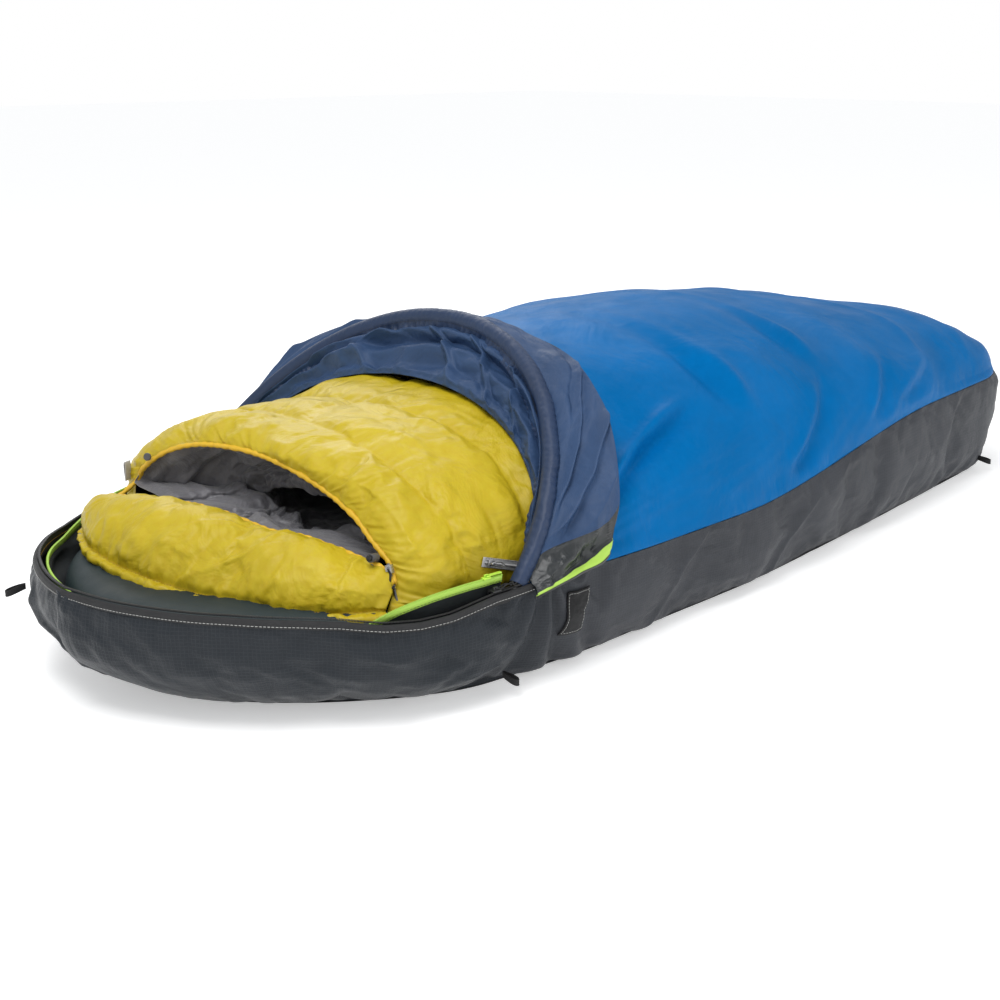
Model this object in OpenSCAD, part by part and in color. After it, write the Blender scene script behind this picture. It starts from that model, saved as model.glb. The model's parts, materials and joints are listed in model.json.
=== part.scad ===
// Bivy sack with its clamshell hood folded back over a single-pole hoop, and the
// sleeping bag and pad that fill it. Millimetres. +X runs from head to foot, +Y to
// the sleeper's right, +Z up. The origin is on the underside, at mid length.

/* [Sack] */
// Length of the filled sack, head end to foot end
sack_length = 2130; // [2080:10:2180]
// Half the width of the filled sack at the hoop
half_width = 409; // [405:1:412]
// Height of the zipped rim of the head tub
rim_height = 155; // [150:1:160]
// Height of the filled sack over the chest
body_height = 425; // [420:1:430]
// How much narrower the sack is on each side at the foot
foot_taper = 105; // [60:5:120]
// Thickness that stands for the coated fabric
cloth = 4; // [3:0.5:4]

/* [Hoop] */
// Angle that the hoop leans back from upright
hoop_lean = 40.6; // [39:0.1:41]
// Radius of the pole tube
pole_r = 4.25; // [4:0.05:4.5]
// Radius of the bore that the shock cord runs in
pole_bore_r = 2.6; // [2.4:0.1:2.8]

/* [Sleeping gear] */
// Thickness of the inflatable pad
pad_height = 86; // [80:1:88]
// Thickness of the sleeping bag's filled wall
loft = 26; // [22:1:28]

/* [Hidden] */
hoop_x = 473;      // the hoop's feet, from the head end
hoop_z = 145;
hoop_r = half_width - 13;  // the pole's feet stand just inside the side walls
rim_offset = 45;   // each side of the rim is an arc whose centre is this far past the middle
rim_r = half_width + rim_offset;
nose_angle = acos(rim_offset / rim_r);
nose_gap = 0.25;   // the two halves of the rim zip stop this many degrees short of each other
foot_round = 250;  // length of the rounded foot end
foot_start = sack_length - foot_round;
taper_x = 1030;    // where the sack starts to narrow
crown_x = 1080;    // where the sack is highest
panel_side_x = 505;   // the front edge of the top panel at the seam
panel_crown_x = 930;  // and over the middle
sleeve_r = 11;     // outside radius of the pole sleeve
hem_rho = 476;     // the hood's hem is this far from the hoop's hinge line at the crown
hem_y = 429;       // and this far out at the feet
hem_crown_angle = 52.4;  // how far behind upright the folded hem lies at the crown
hem_side_angle = 82;     // and at the feet
coil_r = 2.4;      // zipper coil
rim_coil_r = rim_r - cloth - 1.6;
rim_coil_z = rim_height + coil_r + 0.3;
gap = 0.5;         // running gap round moving pieces

// ---------- shared shapes ----------

function spow(v, e) = sign(v) * pow(abs(v), e);
function mix(a, b, t) = a + (b - a) * t;
function smooth(t) = let (c = min(1, max(0, t))) c * c * (3 - 2 * c);
function flatten(lists) = [for (l = lists) each l];
function reversed(l) = [for (i = [len(l) - 1:-1:0]) l[i]];

module from_head() translate([-sack_length / 2, 0, 0]) children();

// A solid whose surface is a grid of points closed both ways round, like a ring.
module ring_solid(rings) {
    n = len(rings);
    m = len(rings[0]);
    polyhedron(flatten(rings), [for (i = [0:n - 1], j = [0:m - 1])
        let (a = i * m + j, b = ((i + 1) % n) * m + j,
            c = ((i + 1) % n) * m + (j + 1) % m, d = i * m + (j + 1) % m)
        each [[a, b, c], [a, c, d]]], convexity = 10);
}

// A solid through a row of closed rings, with a fan over each end.
module loft_solid(rings) {
    n = len(rings);
    m = len(rings[0]);
    function middle(r) = [for (k = [0:2]) [for (p = r) p[k]] * [for (p = r) 1] / len(r)];
    polyhedron(concat(flatten(rings), [middle(rings[0]), middle(rings[n - 1])]),
        concat([for (i = [0:n - 2], j = [0:m - 1])
            let (a = i * m + j, b = (i + 1) * m + j,
                c = (i + 1) * m + (j + 1) % m, d = i * m + (j + 1) % m)
            each [[a, b, c], [a, c, d]]],
            [for (j = [0:m - 1]) [n * m, j, (j + 1) % m]],
            [for (j = [0:m - 1]) [n * m + 1, (n - 1) * m + (j + 1) % m, (n - 1) * m + j]]),
        convexity = 10);
}

// A sheet with a thickness: two grids of points and the walls round their edges.
module sheet_solid(outer, inner) {
    ring_solid_open([for (i = [0:len(outer) - 1]) concat(outer[i], reversed(inner[i]))]);
}

// Closed rings in a row, each capped flat by pairing the outer and inner halves.
module ring_solid_open(rings) {
    n = len(rings);
    m = len(rings[0]);
    h = m / 2;
    polyhedron(flatten(rings), concat(
        [for (i = [0:n - 2], j = [0:m - 1])
            let (a = i * m + j, b = (i + 1) * m + j,
                c = (i + 1) * m + (j + 1) % m, d = i * m + (j + 1) % m)
            each [[a, b, c], [a, c, d]]],
        [for (j = [0:h - 2]) each [[j, j + 1, m - 2 - j], [j, m - 2 - j, m - 1 - j]]],
        [for (j = [0:h - 2]) let (o = (n - 1) * m)
            each [[o + j, o + m - 2 - j, o + j + 1], [o + j, o + m - 1 - j, o + m - 2 - j]]]),
        convexity = 10);
}

// ---------- the sack's outline and heights ----------

function side_half(x) = half_width
    - foot_taper * pow(max(0, (x - taper_x) / (sack_length - taper_x)), 1.2);
function foot_cap(x, e) = let (q = min(1, max(0, (x - foot_start) / foot_round)))
    pow(1 - pow(q, e), 1 / e);
function head_point(a) = [hoop_x - rim_r * sin(a), rim_offset - rim_r * cos(a)];
function foot_point(b) = let (x = foot_start + foot_round * pow(sin(b), 2 / 2.2))
    [x, -side_half(x) * pow(cos(b), 2 / 2.2)];

// The near side of the sack's widest line, from the head end to the foot end.
near_outline = concat(
    [for (i = [0:16]) head_point(nose_angle * (1 - i / 16))],
    [for (i = [1:13]) let (x = mix(hoop_x, foot_start, i / 13)) [x, -side_half(x)]],
    [for (i = [1:9]) foot_point(90 * i / 9)]);
outline = concat(near_outline,
    [for (i = [len(near_outline) - 2:-1:1]) [near_outline[i].x, -near_outline[i].y]]);

function outward(pts, i) = let (n = len(pts),
        d = pts[(i + 1) % n] - pts[(i + n - 1) % n]) [d.y, -d.x] / norm(d);
function inset(pts, i, d) = pts[i] - outward(pts, i) * d;

// The height of the seam between the grey side and the blue top.
function seam_z(x) = x < hoop_x ? rim_height
    : mix(mix(rim_height, 148, smooth((x - hoop_x) / 300)),
        208, smooth((x - 950) / 700));
function crown_z(x) = let (d = (x - crown_x) / 1000,
        h = body_height - (d > 0 ? 150 : 400) * d * d)
    mix(seam_z(x), h, foot_cap(x, 2.6));
function wall_top(x) = seam_z(x) - 2.5 * smooth((x - 490) / 40);
function head_share(x) = 1 - smooth((x - 250) / 450);

// The side's section: how far in it lies at each share of its height.
section = [[0, 40, 75], [0.13, 20, 46], [0.3, 7, 22], [0.5, 1, 4],
    [0.7, 0, -6], [0.86, 0, -6], [1, 0, 0]];
function section_points(i, d) = let (p = outline[i], top = wall_top(p.x))
    [for (s = section) let (q = inset(outline, i,
        mix(s[1], s[2], head_share(p.x)) + d)) [q.x, q.y, s[0] * top]];

// A point of the top panel: row s from front to foot, angle f over the top, d inside it.
function panel_point(s, f, d) = let (
        q = sin(90 * s), limit = sack_length - 0.4,
        x0 = mix(mix(panel_side_x, limit, q), mix(panel_crown_x, limit, q),
            pow(sin(f), 1.5)),
        x = hoop_x + (x0 - hoop_x) * (limit - hoop_x - d) / (limit - hoop_x),
        w = side_half(x0) * foot_cap(x0, 2.2) - d,
        z = seam_z(x0))
    [x, -w * spow(cos(f), 2 / 2.24), z + (crown_z(x0) - d - z) * spow(sin(f), 2 / 2.24)];

// A point on the hoop's half circle, grown by g and pushed back by b from its plane.
function hoop_point(f, g, b) = let (r = hoop_r + g)
    [hoop_x + r * sin(f) * sin(hoop_lean) + b * cos(hoop_lean), -r * cos(f),
        hoop_z + r * sin(f) * cos(hoop_lean) - b * sin(hoop_lean)];

// A point given by its distance from the hoop's hinge line, its place along that line
// and its angle behind upright.
function swung(rho, y, angle) = [hoop_x + rho * sin(angle), y, hoop_z + rho * cos(angle)];

// ---------- the sack ----------

module floor_panel() color([0.27, 0.28, 0.30]) from_head() linear_extrude(2)
    polygon([for (i = [0:len(outline) - 1]) inset(outline, i,
        mix(40, 75, head_share(outline[i].x)) + cloth + 0.6)]);

module tub_wall() color([0.30, 0.31, 0.33]) from_head()
    ring_solid([for (i = [0:len(outline) - 1])
        concat(reversed(section_points(i, 0)), section_points(i, cloth))]);

module top_panel() color([0.0, 0.40, 0.72]) from_head() sheet_solid(
    [for (i = [0:22]) [for (f = [0:6:180]) panel_point(i / 22, f, 0)]],
    [for (i = [0:22]) [for (f = [0:6:180]) panel_point(i / 22, f, cloth)]]);

function canopy_point(r, f, d) =
    mix(hoop_point(f, -d, 13), panel_point(0, f, d), 0.965 * r);
module hood_canopy() color([0.0, 0.38, 0.70]) from_head() sheet_solid(
    [for (r = [0:0.2:1]) [for (i = [0:28]) canopy_point(r, mix(9, 171, i / 28), 0)]],
    [for (r = [0:0.2:1]) [for (i = [0:28]) canopy_point(r, mix(9, 171, i / 28), cloth)]]);

// The taped seam inside the edge where the top panel meets the side.
function tape_row(s, d, up) = [for (side = [1, -1])
    let (p = panel_point(s, side > 0 ? 0 : 180, d + cloth + 1.2)) [p.x, p.y, p.z + up]];
module foot_seam_tape() color([0.55, 0.57, 0.6]) from_head() for (k = [0, 1])
    sheet_solid(
        [for (i = [0:16]) [for (up = [-16, -5]) tape_row(i / 18, k > 0 ? 1.3 : 0.5, up)[k]]],
        [for (i = [0:16]) [for (up = [-16, -5]) tape_row(i / 18, k > 0 ? 0.5 : 1.3, up)[k]]]);

// One side of a band that follows the rim: an arc of a rectangle or a circle.
module rim_arcs(from, to) for (m = [0, 1]) mirror([0, m, 0])
    translate([hoop_x, rim_offset, 0]) rotate(270 - to) rotate_extrude(angle = to - from, $fn = 180)
        children();

module rim_zip_tape() color([0.05, 0.05, 0.06]) from_head() rim_arcs(1, nose_angle - nose_gap)
    translate([rim_r - cloth - 2.2, rim_height - 16]) square([1.2, 15]);

module rim_zip_coil() color([0.08, 0.08, 0.09]) from_head() rim_arcs(1, nose_angle - nose_gap)
    translate([rim_coil_r, rim_coil_z]) circle(coil_r, $fn = 24);

// The insect mesh: a band inside the rim that sags into the tub round the head.
function mesh_top(a) = mix(172, 112, smooth((a - 27) / 36));
function mesh_point(a, z, d) = let (p = [hoop_x - (rim_r - d) * sin(a),
        rim_offset - (rim_r - d) * cos(a)]) [p.x, p.y, z];
function mesh_drop(a, low) = low * mix(1, 0.5, smooth((a - 27) / 36));
function mesh_column(i, low, high, d) = let (a = mix(3.5, nose_angle - 2.5, i / 24))
    [for (z = [low < -40 ? mesh_drop(a, low) : low, high]) mesh_point(a, mesh_top(a) + z, d)];
function mesh_row(low, high, d) = concat(
    [for (i = [0:24]) mesh_column(i, low, high, d)],
    [for (i = [24:-1:0]) [for (p = mesh_column(i, low, high, d)) [p.x, -p.y, p.z]]]);
module mesh_band() color([0.06, 0.09, 0.09]) from_head()
    sheet_solid(mesh_row(-55, -4, 15), mesh_row(-55, -4, 16.2));
module mesh_zip_tape() color([0.62, 0.87, 0.25]) from_head()
    sheet_solid(mesh_row(-3.8, 5, 14.6), mesh_row(-3.8, 5, 16.6));

// A cloth pocket on each side that holds a ball end of the pole against the wall.
module pole_pockets() color([0.12, 0.13, 0.14]) from_head() for (m = [0, 1]) mirror([0, m, 0])
    translate([hoop_x, -hoop_r, hoop_z]) {
        translate([-21, 7.6, -24]) cube([42, 2, 32]);
        translate([-21, -6.6, -26]) cube([42, 16.2, 2.1]);
    }

module hook_patches() color([0.07, 0.08, 0.08]) from_head() for (m = [0, 1]) mirror([0, m, 0])
    translate([hoop_x + 82, -half_width - 4.8, 62]) rotate([0, -14, 0]) cube([44, 2.2, 66]);

// A folded strip of webbing whose eye takes a peg.
module long_eye(long, r) {
    for (x = [0, -long]) translate([x, 0]) circle(r, $fn = 48);
    translate([-long, -r]) square([long, 2 * r]);
}
module webbing_loop(long) rotate([90, 0, 0]) translate([0, 0, -5]) linear_extrude(10)
    difference() {
        long_eye(long, 6.5);
        long_eye(long, 4.7);
    }

// How far in from the outline the wall's outer face is at height z.
function wall_inset(x, z) = let (h = z / wall_top(x)) mix(
    lookup(h, [for (s = section) [s[0], s[1]]]), lookup(h, [for (s = section) [s[0], s[2]]]),
    head_share(x));
loop_z = 26;
nose_loop_z = 113;
nose_loop_y = 200;
foot_loop_x = foot_start + 60;
loop_out = 7.4;
hoop_loop_y = half_width - wall_inset(hoop_x, loop_z + 7) + loop_out;
foot_loop_y = side_half(foot_loop_x) * foot_cap(foot_loop_x, 2.2)
    - wall_inset(foot_loop_x, loop_z + 7) + loop_out;
nose_loop_x = hoop_x - sqrt(pow(rim_r, 2) - pow(nose_loop_y - 5 + rim_offset, 2)) - 6 - loop_out;
module stake_loops() color([0.05, 0.05, 0.05]) from_head() {
    translate([nose_loop_x, nose_loop_y, nose_loop_z]) webbing_loop(24);
    for (side = [-1, 1], p = [[hoop_x - 10, hoop_loop_y], [foot_loop_x, foot_loop_y]])
        translate([p.x, side * p.y, loop_z]) rotate(-90 * side) webbing_loop(24);
}

module guy_loop() color([0.05, 0.05, 0.05]) from_head()
    translate([sack_length - wall_inset(sack_length, loop_z + 7) + loop_out, 0, loop_z]) rotate(180)
        webbing_loop(24);

module care_label() color([0.92, 0.92, 0.9]) from_head()
    translate([980, -half_width + 12, 60]) cube([48, 0.8, 34]);

// ---------- the hoop ----------

// An arc of the hoop between two angles from its near foot, of a profile drawn at radius 0.
module hoop_arc(from, to) from_head() translate([hoop_x, 0, hoop_z])
    rotate([0, hoop_lean, 0]) rotate([90, 0, 90]) rotate(180 + from)
        rotate_extrude(angle = to - from, $fn = 180)
            translate([hoop_r, 0]) children();

module hoop_span(from, to) hoop_arc(-to, -from) children();

module pole_wall() difference() {
    circle(pole_r, $fn = 32);
    circle(pole_bore_r, $fn = 32);
}
joint_angles = [60, 120];
module pole_segment(from, to) color([0.75, 0.76, 0.78]) hoop_span(from, to) pole_wall();
module pole_segment_near() pole_segment(2.2, joint_angles[0] - 0.05);
module pole_segment_crown() pole_segment(joint_angles[0], joint_angles[1]);
module pole_segment_far() pole_segment(joint_angles[1] + 0.05, 177.8);
module pole_ferrules() color([0.55, 0.56, 0.58]) for (a = joint_angles) hoop_span(a - 3.5, a + 3.5)
    difference() {
        circle(pole_r + 0.9, $fn = 32);
        circle(pole_r + 0.06, $fn = 32);
    }
module shock_cord() color([0.1, 0.1, 0.1]) hoop_span(2.4, 177.6) circle(1.3, $fn = 24);

module pole_tips() color([0.04, 0.04, 0.04]) from_head() for (side = [-1, 1])
    translate([hoop_x, side * hoop_r, hoop_z]) rotate([0, hoop_lean, 0]) {
        sphere(6.6, $fn = 40);
        cylinder(r = pole_r, h = 14.4, $fn = 32);
    }

module pole_sleeve() color([0.10, 0.15, 0.26]) hoop_span(5.5, 174.5) difference() {
    circle(sleeve_r, $fn = 40);
    circle(sleeve_r - 1.6, $fn = 40);
}

// Places its children on the hoop: local z points outwards and local y runs along the pole.
module on_hoop(f) from_head() translate(hoop_point(f, 0, 0)) multmatrix([
    [cos(hoop_lean), cos(f) * sin(hoop_lean), sin(f) * sin(hoop_lean), 0],
    [0, sin(f), -cos(f), 0],
    [-sin(hoop_lean), cos(f) * cos(hoop_lean), sin(f) * cos(hoop_lean), 0], [0, 0, 0, 1]])
    children();
ring_angle = 43;
ring_r = 6;
ring_drop = sleeve_r + 2.4;
module ring_tab() color([0.12, 0.17, 0.28]) on_hoop(ring_angle) difference() {
    translate([-2.6, -1.5, -ring_drop - 2.8]) cube([5.2, 3, 5]);
    translate([0, 0, -ring_drop]) rotate([90, 0, 0]) cylinder(r = 1.6, h = 9, center = true, $fn = 24);
}
module hanging_ring() color([0.72, 0.74, 0.76]) on_hoop(ring_angle)
    translate([0, 0, -ring_drop - ring_r]) rotate([0, 90, 0])
        rotate_extrude($fn = 48) translate([ring_r, 0]) circle(1.1, $fn = 20);
module toggle_tag() color([0.85, 0.86, 0.86]) on_hoop(92)
    translate([-3, -11, -sleeve_r - 3.8]) cube([6, 22, 3.3]);

// ---------- the folded hood ----------

function flap_angle(f, r) = mix(hoop_lean + 4.5,
    hem_crown_angle + (hem_side_angle - hem_crown_angle) * pow(abs(cos(f)), 4), r);
function flap_point(f, r, d) = let (
        front = [421 * sin(f), 421 * cos(f)],
        hem = [hem_rho * pow(sin(f), 2 / 2.75), hem_y * spow(cos(f), 2 / 2.75)],
        p = mix(front, hem, r), n = p / norm(p))
    swung(p[0] + n[0] * d, -(p[1] + n[1] * d), flap_angle(f, r));
module flap_band(from, to, d0, d1) from_head() sheet_solid(
    [for (k = [0:4]) [for (i = [0:36]) flap_point(mix(7, 173, i / 36), mix(from, to, k / 4), d1)]],
    [for (k = [0:4]) [for (i = [0:36]) flap_point(mix(7, 173, i / 36), mix(from, to, k / 4), d0)]]);
module hood_flap() color([0.20, 0.28, 0.42]) flap_band(0, 0.62, 0, 3);
module flap_skirt() color([0.16, 0.16, 0.17]) flap_band(0.625, 0.9, 0, 3);
module flap_zip_tape() color([0.62, 0.87, 0.25]) flap_band(0.905, 1, 0, 3);

// The hood's spare cloth, gathered in a swag under the hoop.
function swag(f, r) = let (
        top_r = hoop_r - 22,
        rim = [hoop_x + top_r * sin(f) * sin(hoop_lean) + 6, -top_r * cos(f),
            hoop_z + top_r * sin(f) * cos(hoop_lean)],
        low = [hoop_x + 150 * pow(sin(f), 0.8) + 20, -(top_r - 6) * cos(f),
            128 + 250 * pow(sin(f), 0.8)],
        p = mix(rim, low, r))
    [p.x + 14 * sin(180 * r) * pow(sin(f), 3), p.y, p.z];
function swag_point(f, r, d) = let (
        n = cross(swag(f, r + 0.02) - swag(f, r - 0.02), swag(f + 1, r) - swag(f - 1, r)))
    swag(f, r) + n / norm(n) * d;
module hood_drape() color([0.16, 0.23, 0.36]) from_head() sheet_solid(
    [for (r = [0:0.2:1]) [for (i = [0:24]) swag_point(mix(24, 156, i / 24), r, -1.5)]],
    [for (r = [0:0.2:1]) [for (i = [0:24]) swag_point(mix(24, 156, i / 24), r, 1.5)]]);

// ---------- zip sliders and pulls ----------

// A slider that straddles a coil lying along X at the origin. Its bridge holds a pull.
module slider_body(l, w, channel) difference() {
    union() {
        translate([-l / 2, -w / 2, -3.9]) cube([l, w, 7.8]);
        translate([-l / 4, -1.2, 3.8]) cube([l / 2, 2.4, 4.6]);
    }
    translate([-l, -channel, -channel]) cube([2 * l, 2 * channel, 2 * channel]);
    translate([-l, -0.9, -9]) cube([2 * l, 1.8, 9]);
    translate([0, 0, 5.6]) rotate([90, 0, 0]) cylinder(r = 1.2, h = 9, center = true, $fn = 24);
}
// A pull that hangs to one side of the bridge from a wire through its hole.
module slider_pull(l, w) {
    translate([0, 0, 5.6]) rotate([90, 0, 0]) cylinder(r = 0.8, h = 7, center = true, $fn = 24);
    for (y = [-3.5, 2.1]) translate([-0.8, y, 4.8]) cube([7, 1.4, 1.6]);
    translate([5, -w / 2, 4.8]) cube([l, w, 1.6]);
}

rim_slider_angle = 5;
module at_rim_slider(m) from_head() mirror([0, m, 0])
    translate([hoop_x, rim_offset, rim_coil_z]) rotate(-rim_slider_angle)
        translate([0, -rim_coil_r, 0]) children();
// The rim sliders wrap the coil from above and inside, clear of the tape and the cloth.
module rim_slider_body() difference() {
    union() {
        translate([-7, -4.6, 2.9]) cube([14, 12.4, 2]);
        translate([-7, 4.2, -4]) cube([14, 3.6, 7]);
        translate([-3.5, -1.2, 4.8]) cube([7, 2.4, 4.6]);
    }
    translate([0, 0, 7]) rotate([90, 0, 0]) cylinder(r = 1.2, h = 9, center = true, $fn = 24);
}
module rim_pull_body() translate([0, 0, 1.4]) slider_pull(24, 5.5);
module rim_slider_near() color([0.06, 0.06, 0.07]) at_rim_slider(0) rim_slider_body();
module rim_slider_far() color([0.06, 0.06, 0.07]) at_rim_slider(1) rim_slider_body();
module rim_pull_near() color([0.04, 0.04, 0.04]) at_rim_slider(0) rim_pull_body();
module rim_pull_far() color([0.04, 0.04, 0.04]) at_rim_slider(1) rim_pull_body();

mesh_slider_angle = 6;
module at_mesh_slider() from_head()
    translate([hoop_x, rim_offset, mesh_top(mesh_slider_angle) + 6.4]) rotate(-mesh_slider_angle)
        translate([0, -(rim_r - 15.6), 0]) children();
module mesh_slider() color([0.55, 0.8, 0.2]) at_mesh_slider() difference() {
    union() {
        translate([-6, -3.4, -1]) cube([12, 6.8, 2.4]);
        translate([-3, -1.1, 1.2]) cube([6, 2.2, 4.2]);
    }
    translate([0, 0, 3.1]) rotate([90, 0, 0]) cylinder(r = 1.2, h = 9, center = true, $fn = 24);
}
module mesh_pull() color([0.55, 0.8, 0.2]) at_mesh_slider() translate([0, 0, -2.5]) slider_pull(20, 5);

// ---------- the pad and the sleeping bag ----------

pad_clear = 16;
function pad_ring(d, z) = [for (i = [0:2:len(outline) - 1]) let (p = inset(outline, i,
    mix(44, 60, head_share(outline[i].x)) + pad_clear + d)) [p.x, p.y, z]];
module sleeping_pad() color([0.05, 0.09, 0.10]) from_head() loft_solid(
    [pad_ring(14, 3), pad_ring(3, 16), pad_ring(0, 40), pad_ring(2, 64), pad_ring(13, pad_height)]);

// Half width, base and crown height of the bag's shell along the sack.
bag_stations = [
    [300, 250, 327], [340, 292, 345], [400, 322, 360], [480, 344, 366], [580, 356, 363],
    [700, 366, 362], [820, 374, 376], [950, 380, 394]];
bag_tip = sack_length - 42;
function bag_half(x) = x < 950 ? lookup(x, [for (s = bag_stations) [s[0], s[1]]])
    : (side_half(x) - 25) * foot_cap(x + 40, 2.3);
function bag_crown(x) = x < 950 ? lookup(x, [for (s = bag_stations) [s[0], s[2]]])
    : mix(190, crown_z(x) - 22, foot_cap(x + 40, 2.5));
bag_base = pad_height + 3;
bag_mid = 150;
function bag_ring(x, d) = [for (i = [0:31]) let (f = 360 * i / 32,
        w = max(4, bag_half(x) - d), up = bag_crown(x) - d - bag_mid, down = bag_mid - bag_base - d,
        end = 1 - foot_cap(min(sack_length - 41, x + 40), 2.5),
        low = mix(down, min(down, 40), end))
    [x, w * spow(cos(f), 2 / 2.3), bag_mid + (sin(f) > 0 ? up : low) * spow(sin(f), 2 / 2.3)]];
bag_xs = concat([300, 320, 340, 370, 400, 440, 480, 530, 580, 640, 700, 760, 820, 885, 950],
    [for (i = [1:16]) mix(950, bag_tip - 4, sin(90 * i / 16))]);
module sock(xs, d0, d1, back) loft_solid(concat(
    reversed([for (x = xs) bag_ring(x, d0)]), [for (x = xs) bag_ring(min(x, xs[len(xs) - 1] - back), d1)]));
inner_xs = [for (x = bag_xs) if (x < bag_tip - 60) x];
module bag_shell() color([0.93, 0.78, 0.12]) from_head() loft_solid(concat(
    reversed([for (x = bag_xs) bag_ring(x, 0)]), [for (x = inner_xs) bag_ring(x, loft)]));
lining_xs = [for (x = inner_xs) if (x < 1800 && x > 310) x];
module bag_lining() color([0.33, 0.32, 0.33]) from_head() loft_solid(concat(
    reversed([for (x = lining_xs) bag_ring(x, loft + 1.4)]),
    [for (x = lining_xs) bag_ring(x - 4, loft + 4.4)]));

// The lower half of the bag's hood, a filled crescent in front of the face opening.
function hood_section(f) = let (c = cos(f)) [mix(292, 205, pow(abs(sin(f)), 1.2)), 0];
function hood_ring(t) = let (
        y = mix(-268, 232, t), s = pow(sin(180 * mix(0.035, 0.965, t)), 0.62),
        back = mix(296, 282, sin(180 * t)), front = mix(288, 112, s),
        top = mix(168, 226, s), base = mix(150, bag_base + 2, s), mid = (top + base) / 2)
    [for (i = [0:15]) let (f = 360 * i / 16, cx = (back + front) / 2)
        [cx - (back - front) / 2 * spow(cos(f), 0.85), y,
            mid + (top - base) / 2 * spow(sin(f), 0.85)]];
module bag_hood() color([0.93, 0.78, 0.12]) from_head()
    loft_solid([for (i = [0:20]) hood_ring(i / 20)]);

// A filled tube of lining round the inside of the bag at the sleeper's neck.
module bag_draft_collar() color([0.30, 0.29, 0.30]) from_head() ring_solid(
    [for (k = [0:9]) let (a = 36 * k) [for (p = bag_ring(430 + 22 * cos(a), loft + 18 + 11 * sin(a))) p]]);

bag_zip_at = [352, -292, 196];
bag_zip_down = [-6, -28, -60];
module along_bag_zip() from_head() translate(bag_zip_at) multmatrix(
    let (d = bag_zip_down / norm(bag_zip_down), n0 = [-1, -0.35, 0],
        n = (n0 - d * (n0 * d)) / norm(n0 - d * (n0 * d)), b = cross(n, d))
    [[d.x, b.x, n.x, 0], [d.y, b.y, n.y, 0], [d.z, b.z, n.z, 0], [0, 0, 0, 1]]) children();
bag_coil_lift = 15;
module bag_zip_coil() color([0.28, 0.27, 0.27]) along_bag_zip() translate([0, 0, bag_coil_lift])
    rotate([0, 90, 0]) cylinder(r = 1.7, h = 62, $fn = 24);
module bag_zip_slider() color([0.6, 0.6, 0.62]) along_bag_zip() translate([8, 0, bag_coil_lift])
    slider_body(12, 9, 2.2);
module bag_zip_pull() color([0.35, 0.34, 0.35]) along_bag_zip() translate([8, 0, bag_coil_lift])
    slider_pull(22, 6);

module hood_cord_lock() color([0.16, 0.16, 0.17]) along_bag_zip() translate([-12, -14, bag_coil_lift + 4])
    difference() {
        cylinder(r = 6, h = 14, $fn = 40);
        translate([0, 0, 7]) cylinder(r = 4.2, h = 9, $fn = 40);
        translate([-9, 0, 3.5]) rotate([0, 90, 0]) cylinder(r = 1.6, h = 18, $fn = 24);
    }
module cord_lock_button() color([0.1, 0.1, 0.1]) along_bag_zip() translate([-12, -14, bag_coil_lift + 14])
    cylinder(r = 3.9, h = 8, $fn = 40);

pocket_at = [462, -347, 182];
pocket_long = 98;
module along_pocket() from_head() translate(pocket_at) rotate([0, 0, -7.6]) rotate([0, 18, 0])
    rotate([86, 0, 0]) children();
module pocket_zip_tape() color([0.72, 0.72, 0.73]) along_pocket() {
    translate([0, -7, 0]) cube([pocket_long, 14, 1]);
    translate([3, 0, 2.4]) rotate([0, 90, 0]) cylinder(r = 1.6, h = pocket_long - 6, $fn = 24);
}
module pocket_zip_slider() color([0.7, 0.7, 0.72]) along_pocket() translate([12, 0, 2.4]) difference() {
    union() {
        translate([-5, -4, -1.1]) cube([10, 8, 4.6]);
        translate([-2.5, -1.1, 3.4]) cube([5, 2.2, 4.4]);
    }
    translate([-9, -2.1, -3]) cube([18, 4.2, 5.1]);
    translate([0, 0, 5.4]) rotate([90, 0, 0]) cylinder(r = 1.2, h = 9, center = true, $fn = 24);
}
module pocket_zip_pull() color([0.66, 0.66, 0.68]) along_pocket() translate([12, 0, 2.2]) slider_pull(16, 5);

module hood_snap() color([0.25, 0.25, 0.25]) from_head() translate([285, 208, 262]) rotate([0, -80, 30])
    cylinder(r = 6, h = 4, $fn = 40);
module hang_tab() color([0.75, 0.75, 0.76]) from_head() translate([276, 262, 214]) rotate([0, 0, 20])
    difference() {
        cube([14, 5, 30]);
        translate([-1, 1.2, 5]) cube([16, 2.6, 20]);
    }

// ---------- one node at a time ----------

floor_panel();
tub_wall();
top_panel();
hood_canopy();
foot_seam_tape();
rim_zip_tape();
rim_zip_coil();
mesh_band();
mesh_zip_tape();
pole_pockets();
hook_patches();
stake_loops();
guy_loop();
care_label();
pole_segment_near();
pole_segment_crown();
pole_segment_far();
pole_ferrules();
pole_tips();
shock_cord();
pole_sleeve();
ring_tab();
hanging_ring();
toggle_tag();
hood_flap();
flap_skirt();
flap_zip_tape();
hood_drape();
rim_slider_near();
rim_slider_far();
rim_pull_near();
rim_pull_far();
mesh_slider();
mesh_pull();
sleeping_pad();
bag_shell();
bag_lining();
bag_hood();
bag_draft_collar();
bag_zip_coil();
bag_zip_slider();
bag_zip_pull();
hood_cord_lock();
cord_lock_button();
pocket_zip_tape();
pocket_zip_slider();
pocket_zip_pull();
hood_snap();
hang_tab();
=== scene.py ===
import json
import math

import bpy
import bmesh
import numpy as np
from mathutils import Matrix, Vector

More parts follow.
